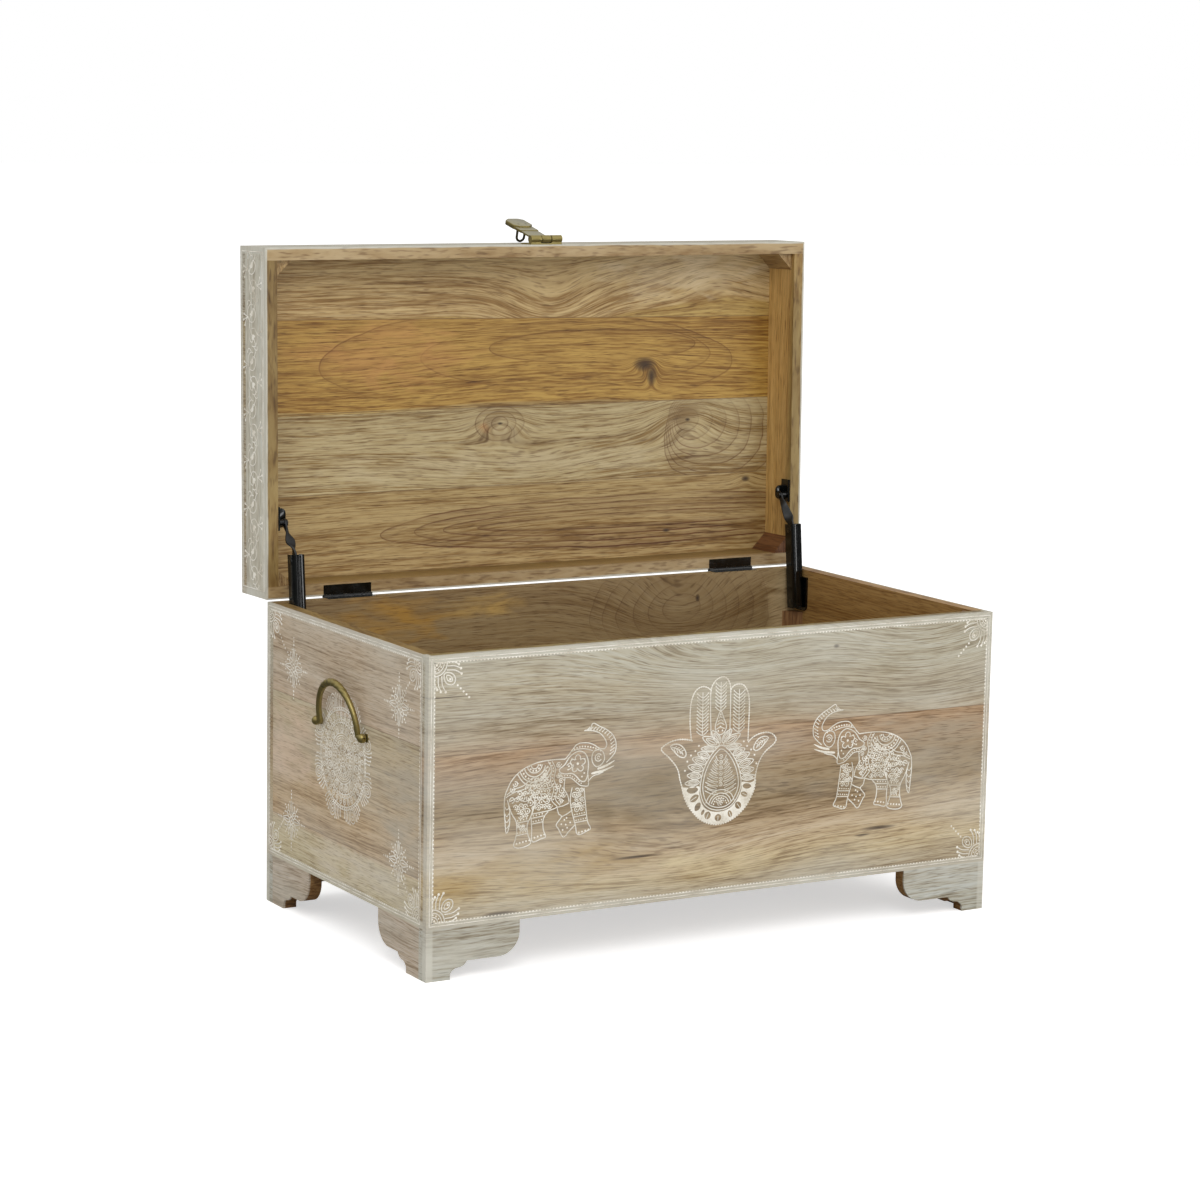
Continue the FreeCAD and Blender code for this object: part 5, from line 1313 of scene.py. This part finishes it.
def shape(operator, face=None, edge=None, **settings):
    """Runs an edit operator on those faces or edges of the active piece that pass a test, or, without a
    test, on what was selected last."""
    mesh = bpy.context.object.data
    if face or edge:
        bpy.ops.object.mode_set(mode="EDIT")
        bpy.ops.mesh.select_all(action="DESELECT")
        bpy.ops.mesh.select_mode(type="FACE" if face else "EDGE")
        bpy.ops.object.mode_set(mode="OBJECT")
    if face:
        for side in mesh.polygons:
            side.select = face(side)
    if edge:
        for line in mesh.edges:
            line.select = edge(*(mesh.vertices[i].co for i in line.vertices))
    bpy.ops.object.mode_set(mode="EDIT")
    operator(**settings)
    bpy.ops.object.mode_set(mode="OBJECT")


def modify(piece, kind, **settings):
    """Adds a modifier with its settings and applies it."""
    modifier = piece.modifiers.new(kind.lower(), kind)
    for name, value in settings.items():
        setattr(modifier, name, value)
    bpy.context.view_layer.objects.active = piece
    bpy.ops.object.modifier_apply(modifier=modifier.name)


# %% Copies and places
MIRROR = Matrix.Diagonal((-1, 1, 1, 1))


def copied(piece, name):
    """A copy with its own mesh."""
    twin = piece.copy()
    twin.data = piece.data.copy()
    twin.name = twin.data.name = name
    bpy.context.scene.collection.objects.link(twin)
    return twin


def settle(piece, place, material, body):
    """Turns the piece into its place, makes its faces point outwards, finishes it and lets it ride."""
    piece.data.transform(place)
    face_out(piece)
    bpy.ops.object.shade_smooth_by_angle(angle=math.radians(40))
    piece.data.materials.clear()
    piece.data.materials.append(material)
    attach(piece, body)
    size = [round(v / MM, 1) for v in piece.dimensions]
    print(piece.name, "faces:", len(piece.data.polygons), "size mm:", size)


def upright(origin, direction):
    """Matrix that lays a piece's z axis along a direction in the plane across the chest."""
    z_axis = Vector(direction).normalized()
    x_axis = Vector((1, 0, 0))
    turn = Matrix((x_axis, z_axis.cross(x_axis), z_axis)).transposed().to_4x4()
    return Matrix.Translation(Vector(origin)) @ turn


# %% Channel arm
joints = {joint["name"]: joint for joint in frame["joints"]}
arm_foot = Vector(joints["stay_arm_left_pivot"]["pos_m"])
link_head = Vector(joints["stay_link_left_pivot"]["pos_m"])
knee = arm_foot + link_head - Vector((link_head.x, HINGE.y, HINGE.z))
arm_length = (knee - arm_foot).length
channel = block("stay_channel_left", (-0.0071, -0.0073, -0.0085), (0.0071, 0.0088, arm_length + 0.0088))
shape(bpy.ops.mesh.delete, face=lambda f: abs(f.normal.z) > 0.9 or f.normal.y > 0.9, type="FACE")
shape(bpy.ops.mesh.bevel, edge=lambda a, b: abs(a.z - b.z) > 0.05 and a.y < 0, offset=0.0040, segments=6)
shape(bpy.ops.mesh.inset, face=lambda f: f.normal.y < -0.999, thickness=0.0008)
shape(bpy.ops.mesh.inset, thickness=0.0007, depth=-0.0008)
modify(channel, "SOLIDIFY", thickness=0.0014, offset=1.0)
rivets = []
for height in (0.0, arm_length):
    rivets.append(rod(20, 0.0042, 0.0178, height))
    shape(bpy.ops.mesh.bevel, face=lambda f: abs(f.normal.x) > 0.9, offset=0.0007, segments=2)
joined(channel, *rivets)
channel_right = copied(channel, "stay_channel_right")
arm_place = upright(arm_foot, knee - arm_foot)
settle(channel, arm_place, iron, "stay_arm_left")
settle(channel_right, MIRROR @ arm_place, iron, "stay_arm_right")
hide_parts("stay_left_arm")
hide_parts("stay_right_arm")

# %% Twisted link
TWIST = math.radians(88)
TWIST_START, TWIST_LONG = 0.1, 0.72
WIDTHS = [
    (-0.1, 0.55), (0.0, 1.15), (0.12, 0.8), (0.28, 1.0), (0.5, 1.45), (0.68, 1.4), (0.85, 1.0), (1.0, 1.1),
    (1.1, 0.55),
]
link_length = (knee - link_head).length
link = block("stay_twist_left", (-0.0013, -0.0045, -0.0055), (0.0013, 0.0045, link_length + 0.0055))
shape(bpy.ops.mesh.subdivide, edge=lambda a, b: abs(a.z - b.z) > 0.03, number_cuts=23)
for vertex in link.data.vertices:
    share = vertex.co.z / link_length
    for (s0, w0), (s1, w1) in zip(WIDTHS, WIDTHS[1:]):
        if s0 <= share <= s1:
            blend = (share - s0) / (s1 - s0)
            width = w0 + (w1 - w0) * blend * blend * (3 - 2 * blend)
    turn = TWIST * math.sin(math.pi * min(max((share - TWIST_START) / TWIST_LONG, 0), 1)) ** 2
    x, y = vertex.co.x, vertex.co.y * width
    vertex.co.x = x * math.cos(turn) - y * math.sin(turn)
    vertex.co.y = x * math.sin(turn) + y * math.cos(turn)
modify(link, "BEVEL", width=0.0006, angle_limit=math.radians(50), **SOFT)
link_right = copied(link, "stay_twist_right")
link_place = upright(link_head, knee - link_head)
settle(link, link_place, dull_iron, "stay_link_left")
settle(link_right, MIRROR @ link_place, dull_iron, "stay_link_right")
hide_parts("stay_left_link")
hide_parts("stay_right_link")

# %% [markdown]
# The lid bracket is bent from one piece: a plate on the rail and an ear that stands out behind the link. The
# ear is a thin block with two corners rounded off. The right-hand one is smaller.

# %% Lid bracket ears
EAR_THICK = 0.0032
plate_low, plate_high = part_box("stay_left_lid_bracket")
for name, reach, rise, place in (
    ("stay_ear_left", 0.0055, 0.0175, Matrix.Identity(4)),
    ("stay_ear_right", 0.001, 0.0125, MIRROR),
):
    low = (plate_low[0], plate_high[1] - EAR_THICK, link_head.z - 0.007)
    ear = block(name, low, (link_head.x + reach, plate_high[1], link_head.z + rise))
    shape(bpy.ops.mesh.bevel, edge=lambda a, b: abs(a.y - b.y) > 0.002 and a.x > link_head.x,
          offset=0.0065, segments=6)
    modify(ear, "BEVEL", width=0.0006, angle_limit=math.radians(50), **SOFT)
    settle(ear, place, iron, "lid")

# %% [markdown]
# ## Cast brass handles
# Each handle is a cast bail with pins in its two ball posts. Its legs are plain and round; at the top it
# swells and carries a few slanting leaves. A flat grid is rolled to a tube along the bail's middle line, and
# the leaves are ripples that wind round it, so the relief needs no parts of its own.

# %% Middle line of a bail
pivot = Vector(joints["bail_left_swing"]["pos_m"])
LEAN = math.radians(8)
ARCH, LEG, PIN, BEND = 0.0521, 0.006, 0.0132, 0.004
middle_line = [Vector((-ARCH - PIN, 0)), Vector((-ARCH - BEND, 0))]
for a in (0.4, 0.8, 1.2):
    middle_line.append(Vector((-ARCH - BEND + BEND * math.sin(a), BEND - BEND * math.cos(a))))
for i in range(21):
    a = i / 40 * math.pi
    middle_line.append(Vector((-ARCH * math.cos(a), LEG + ARCH * math.sin(a))))
middle_line += [Vector((-p.x, p.y)) for p in reversed(middle_line[:-1])]
runs = [0.0]
for p, q in zip(middle_line, middle_line[1:]):
    runs.append(runs[-1] + (q - p).length)
print("bail's middle line:", round(runs[-1] / MM, 1), "mm")


def along(t):
    """Point of the bail's middle line at a share of its length."""
    s = min(max(t, 0.0), 1.0) * runs[-1]
    k = max(i for i in range(len(runs) - 1) if runs[i] <= s)
    ahead = middle_line[k + 1] - middle_line[k]
    return middle_line[k] + ahead * ((s - runs[k]) / ahead.length)


# %% Bails
ROUND, LONG = 20, 220
PIN_END, PIN_RADIUS = PIN - 0.006, 0.0021
LEG_RADIUS, SWELL = 0.0036, 0.001
LEAF_RISE, LEAF_SUNK, LEAF_START, LEAF_FADE = 0.0007, 0.0004, 0.3, 0.05
pick()
bpy.ops.mesh.primitive_grid_add(x_subdivisions=ROUND, y_subdivisions=LONG, size=2)
bail = bpy.context.object
bail.name = bail.data.name = "handle_bail_cast_left"
for vertex in bail.data.vertices:
    theta, t = vertex.co.x * math.pi, (vertex.co.y + 1) / 2
    ahead = (along(t + 0.012) - along(t - 0.012)).normalized()
    side = Vector((-ahead.y, ahead.x))
    inward = 0.5 - abs(t - 0.5)
    radius = LEG_RADIUS + SWELL * math.sin(math.pi * t) ** 6
    if inward * runs[-1] < PIN_END:
        radius = PIN_RADIUS
    leaf = min(max((inward - LEAF_START) / LEAF_FADE, 0), 1)
    radius += leaf * (LEAF_RISE * abs(math.sin(1.5 * theta + 60 * inward)) - LEAF_SUNK)
    flat = along(t) + side * radius * math.cos(theta)
    vertex.co = (radius * math.sin(theta), flat.x, flat.y)
bpy.ops.object.mode_set(mode="EDIT")
bpy.ops.mesh.select_all(action="SELECT")
bpy.ops.mesh.remove_doubles(threshold=1e-6)
bpy.ops.mesh.select_all(action="DESELECT")
bpy.ops.mesh.select_mode(type="EDGE")
bpy.ops.mesh.select_non_manifold()
bpy.ops.mesh.edge_face_add()
bpy.ops.object.mode_set(mode="OBJECT")
bail_right = copied(bail, "handle_bail_cast_right")
bail_place = Matrix.Translation(pivot) @ Matrix.Rotation(-LEAN, 4, "Y")
settle(bail, bail_place, brass, "bail_left")
settle(bail_right, MIRROR @ bail_place, brass, "bail_right")
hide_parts("handle_left_bail")
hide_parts("handle_right_bail")

# %% [markdown]
# ## The hasp's strap
# The strap is cast with a broad neck, a low step and a thick shield at its end. It is built flat along the
# z axis from four blocks, with the shield's corners cut off, and a knuckle that turns between the plate's
# two. All edges are softened. Then it is joined and tipped to its resting angle. Its knuckle and its edges
# are rubbed brass; its broad faces get a paler grey copy of it, a painted reflection of the bright surround.

# %% Strap
strap_axis = Vector(joints["hasp_hinge"]["pos_m"])
hasp_swing = math.radians(joints["hasp_hinge"]["range_deg"][1])
STRAP_ANGLE = math.pi - hasp_swing - (OPEN_ANGLE - math.pi / 2)
KNUCKLE_RADIUS = 0.005
tab = block("hasp_tab", (-0.0066, 0.0004, 0.003), (0.0066, 0.0034, 0.010))
neck = block("hasp_neck", (-0.0125, 0.0012, 0.0075), (0.0125, 0.0038, 0.060))
step = block("hasp_step", (-0.0134, 0.0003, 0.043), (0.0134, 0.0040, 0.060))
shield = block("hasp_shield_cast", (-0.0140, -0.0020, 0.056), (0.0140, 0.0046, 0.0918))
shape(bpy.ops.mesh.bevel, edge=lambda a, b: abs(a.y - b.y) > 0.003, offset=0.0065, segments=1)
knuckle = rod(32, KNUCKLE_RADIUS, 0.0136)
for piece, width in ((tab, 0.0003), (neck, 0.0005), (step, 0.0006), (shield, 0.0012), (knuckle, 0.0008)):
    modify(piece, "BEVEL", width=width, angle_limit=math.radians(35), **SOFT)
joined(shield, tab, neck, step, knuckle)
strap_place = upright(strap_axis, (0, math.cos(STRAP_ANGLE), math.sin(STRAP_ANGLE)))
# The broad faces take the paler grey brass, a painted reflection; the knuckle and the edge faces take the
# plain brass.
settle(shield, strap_place, brass_painted_reflection, "hasp")
shield.data.materials.append(brass)
lift = strap_place.to_3x3() @ Vector((0, 1, 0))
for face in shield.data.polygons:
    near_axis = (face.center - strap_axis).yz.length < KNUCKLE_RADIUS + 0.0006
    face.material_index = 1 if near_axis or abs(face.normal.dot(lift)) < 0.6 else 0
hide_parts("clasp_strap")

# %% [markdown]
# ## Floor, light and camera
# The chest stands on a white studio floor in a white surround. Glossy parts see both of them darker, because
# in pure white they would look washed out. A large soft key lamp shines from the left and a weaker one from
# the right. A narrow strip and a low card in front give the glossy parts something to reflect. The camera
# looks from the front left, nine degrees down, through a long lens, and is tipped by one degree.

# %% Floor and surround
FLOOR_GLOW = 0.55
SURROUND = 0.72
pick()
bpy.ops.mesh.primitive_plane_add(size=60, location=(0, 0, 0))
floor = bpy.context.object
floor.name = "studio_floor"
paper, tree = finish_named("Paper, white")
rays = add(tree, "LightPath")
tones = {"Fac": rays.outputs["Is Glossy Ray"], 1: linear("#F4F4F4"), 2: linear("#5A5A58")}
dull = add(tree, "BsdfDiffuse", {"Color": add(tree, "MixRGB", tones)})
glow = add(tree, "Math", {0: rays.outputs["Is Camera Ray"], 1: FLOOR_GLOW}, operation="MULTIPLY")
lit = add(tree, "Emission", {"Color": linear("#FFFFFF"), "Strength": glow})
both = add(tree, "AddShader", {0: dull, 1: lit})
add(tree, "OutputMaterial", {"Surface": both})
floor.data.materials.append(paper)
world = bpy.data.worlds.new("Studio surround")
bpy.context.scene.world = world
world.use_nodes = True
tree = world.node_tree
tree.nodes.clear()
rays = add(tree, "LightPath")
height = add(tree, "SeparateXYZ", {0: add(tree, "TexCoord").outputs["Generated"]}).outputs["Z"]
studio = {"Value": height, "From Min": 0.0, "From Max": 0.6, "To Min": 0.12, "To Max": 0.85}
studio = add(tree, "MapRange", studio)
shaded = add(tree, "Mix", {"Factor": rays.outputs["Is Glossy Ray"], "A": SURROUND, "B": studio})
level = add(tree, "Mix", {"Factor": rays.outputs["Is Camera Ray"], "A": shaded, "B": 1.0})
sky = add(tree, "Background", {"Color": linear("#FFFFFF"), "Strength": level})
add(tree, "OutputWorld", {"Surface": sky})
bpy.context.scene.view_settings.view_transform = "Standard"
print("floor", round(floor.dimensions.x), "m wide, surround at", SURROUND)

# %% Lamps
def soft_lamp(name, place, aim, size, power, tall=None):
    """A rectangular lamp that shines from a place towards an aim; without tall it is square."""
    data = bpy.data.lights.new(name, "AREA")
    data.shape = "RECTANGLE"
    data.size, data.size_y = size, tall or size
    data.energy = power
    lamp = bpy.data.objects.new(name, data)
    lamp.location = place
    lamp.rotation_euler = (Vector(aim) - Vector(place)).to_track_quat("-Z", "Y").to_euler()
    bpy.context.scene.collection.objects.link(lamp)
    print(name, power, "W")


soft_lamp("key_lamp", (-2.0, -3.4, 3.6), (0, 0, 0.4), 2.6, 64.0)
soft_lamp("fill_lamp", (3.2, -3.0, 2.2), (0, 0, 0.4), 2.6, 19.0)
soft_lamp("strip_lamp", (-0.5, -3.2, 1.0), (0, 0, 0.5), 0.22, 4.0, 1.9)
soft_lamp("card_lamp", (1.5, -2.75, 0.45), (0, -0.05, 0.45), 0.8, 5.5, 0.45)

# %% Camera
AZIMUTH, ELEVATION, ROLL = (math.radians(angle) for angle in (-30.41, 8.94, 1.06))
AIM = Vector((-0.0457, MIDDLE_Y, 0.3955))
DISTANCE = 4.183
FOCUS_PIXELS, IMAGE_PIXELS, SENSOR = 3345.0, 1200.0, 36.0
flat = math.cos(ELEVATION)
back = Vector((math.sin(AZIMUTH) * flat, -math.cos(AZIMUTH) * flat, math.sin(ELEVATION)))
right = Vector((math.cos(AZIMUTH), math.sin(AZIMUTH), 0))
up = back.cross(right)
right, up = right * math.cos(ROLL) + up * math.sin(ROLL), up * math.cos(ROLL) - right * math.sin(ROLL)
camera = bpy.data.objects.new("camera", bpy.data.cameras.new("camera"))
camera.data.sensor_width = SENSOR
camera.data.lens = SENSOR * FOCUS_PIXELS / IMAGE_PIXELS
turn = Matrix((right, up, back)).transposed().to_4x4()
camera.matrix_world = Matrix.Translation(AIM + back * DISTANCE) @ turn
bpy.context.scene.collection.objects.link(camera)
bpy.context.scene.camera = camera
print("lens", round(camera.data.lens, 2), "mm, eye", [round(v, 3) for v in camera.location])
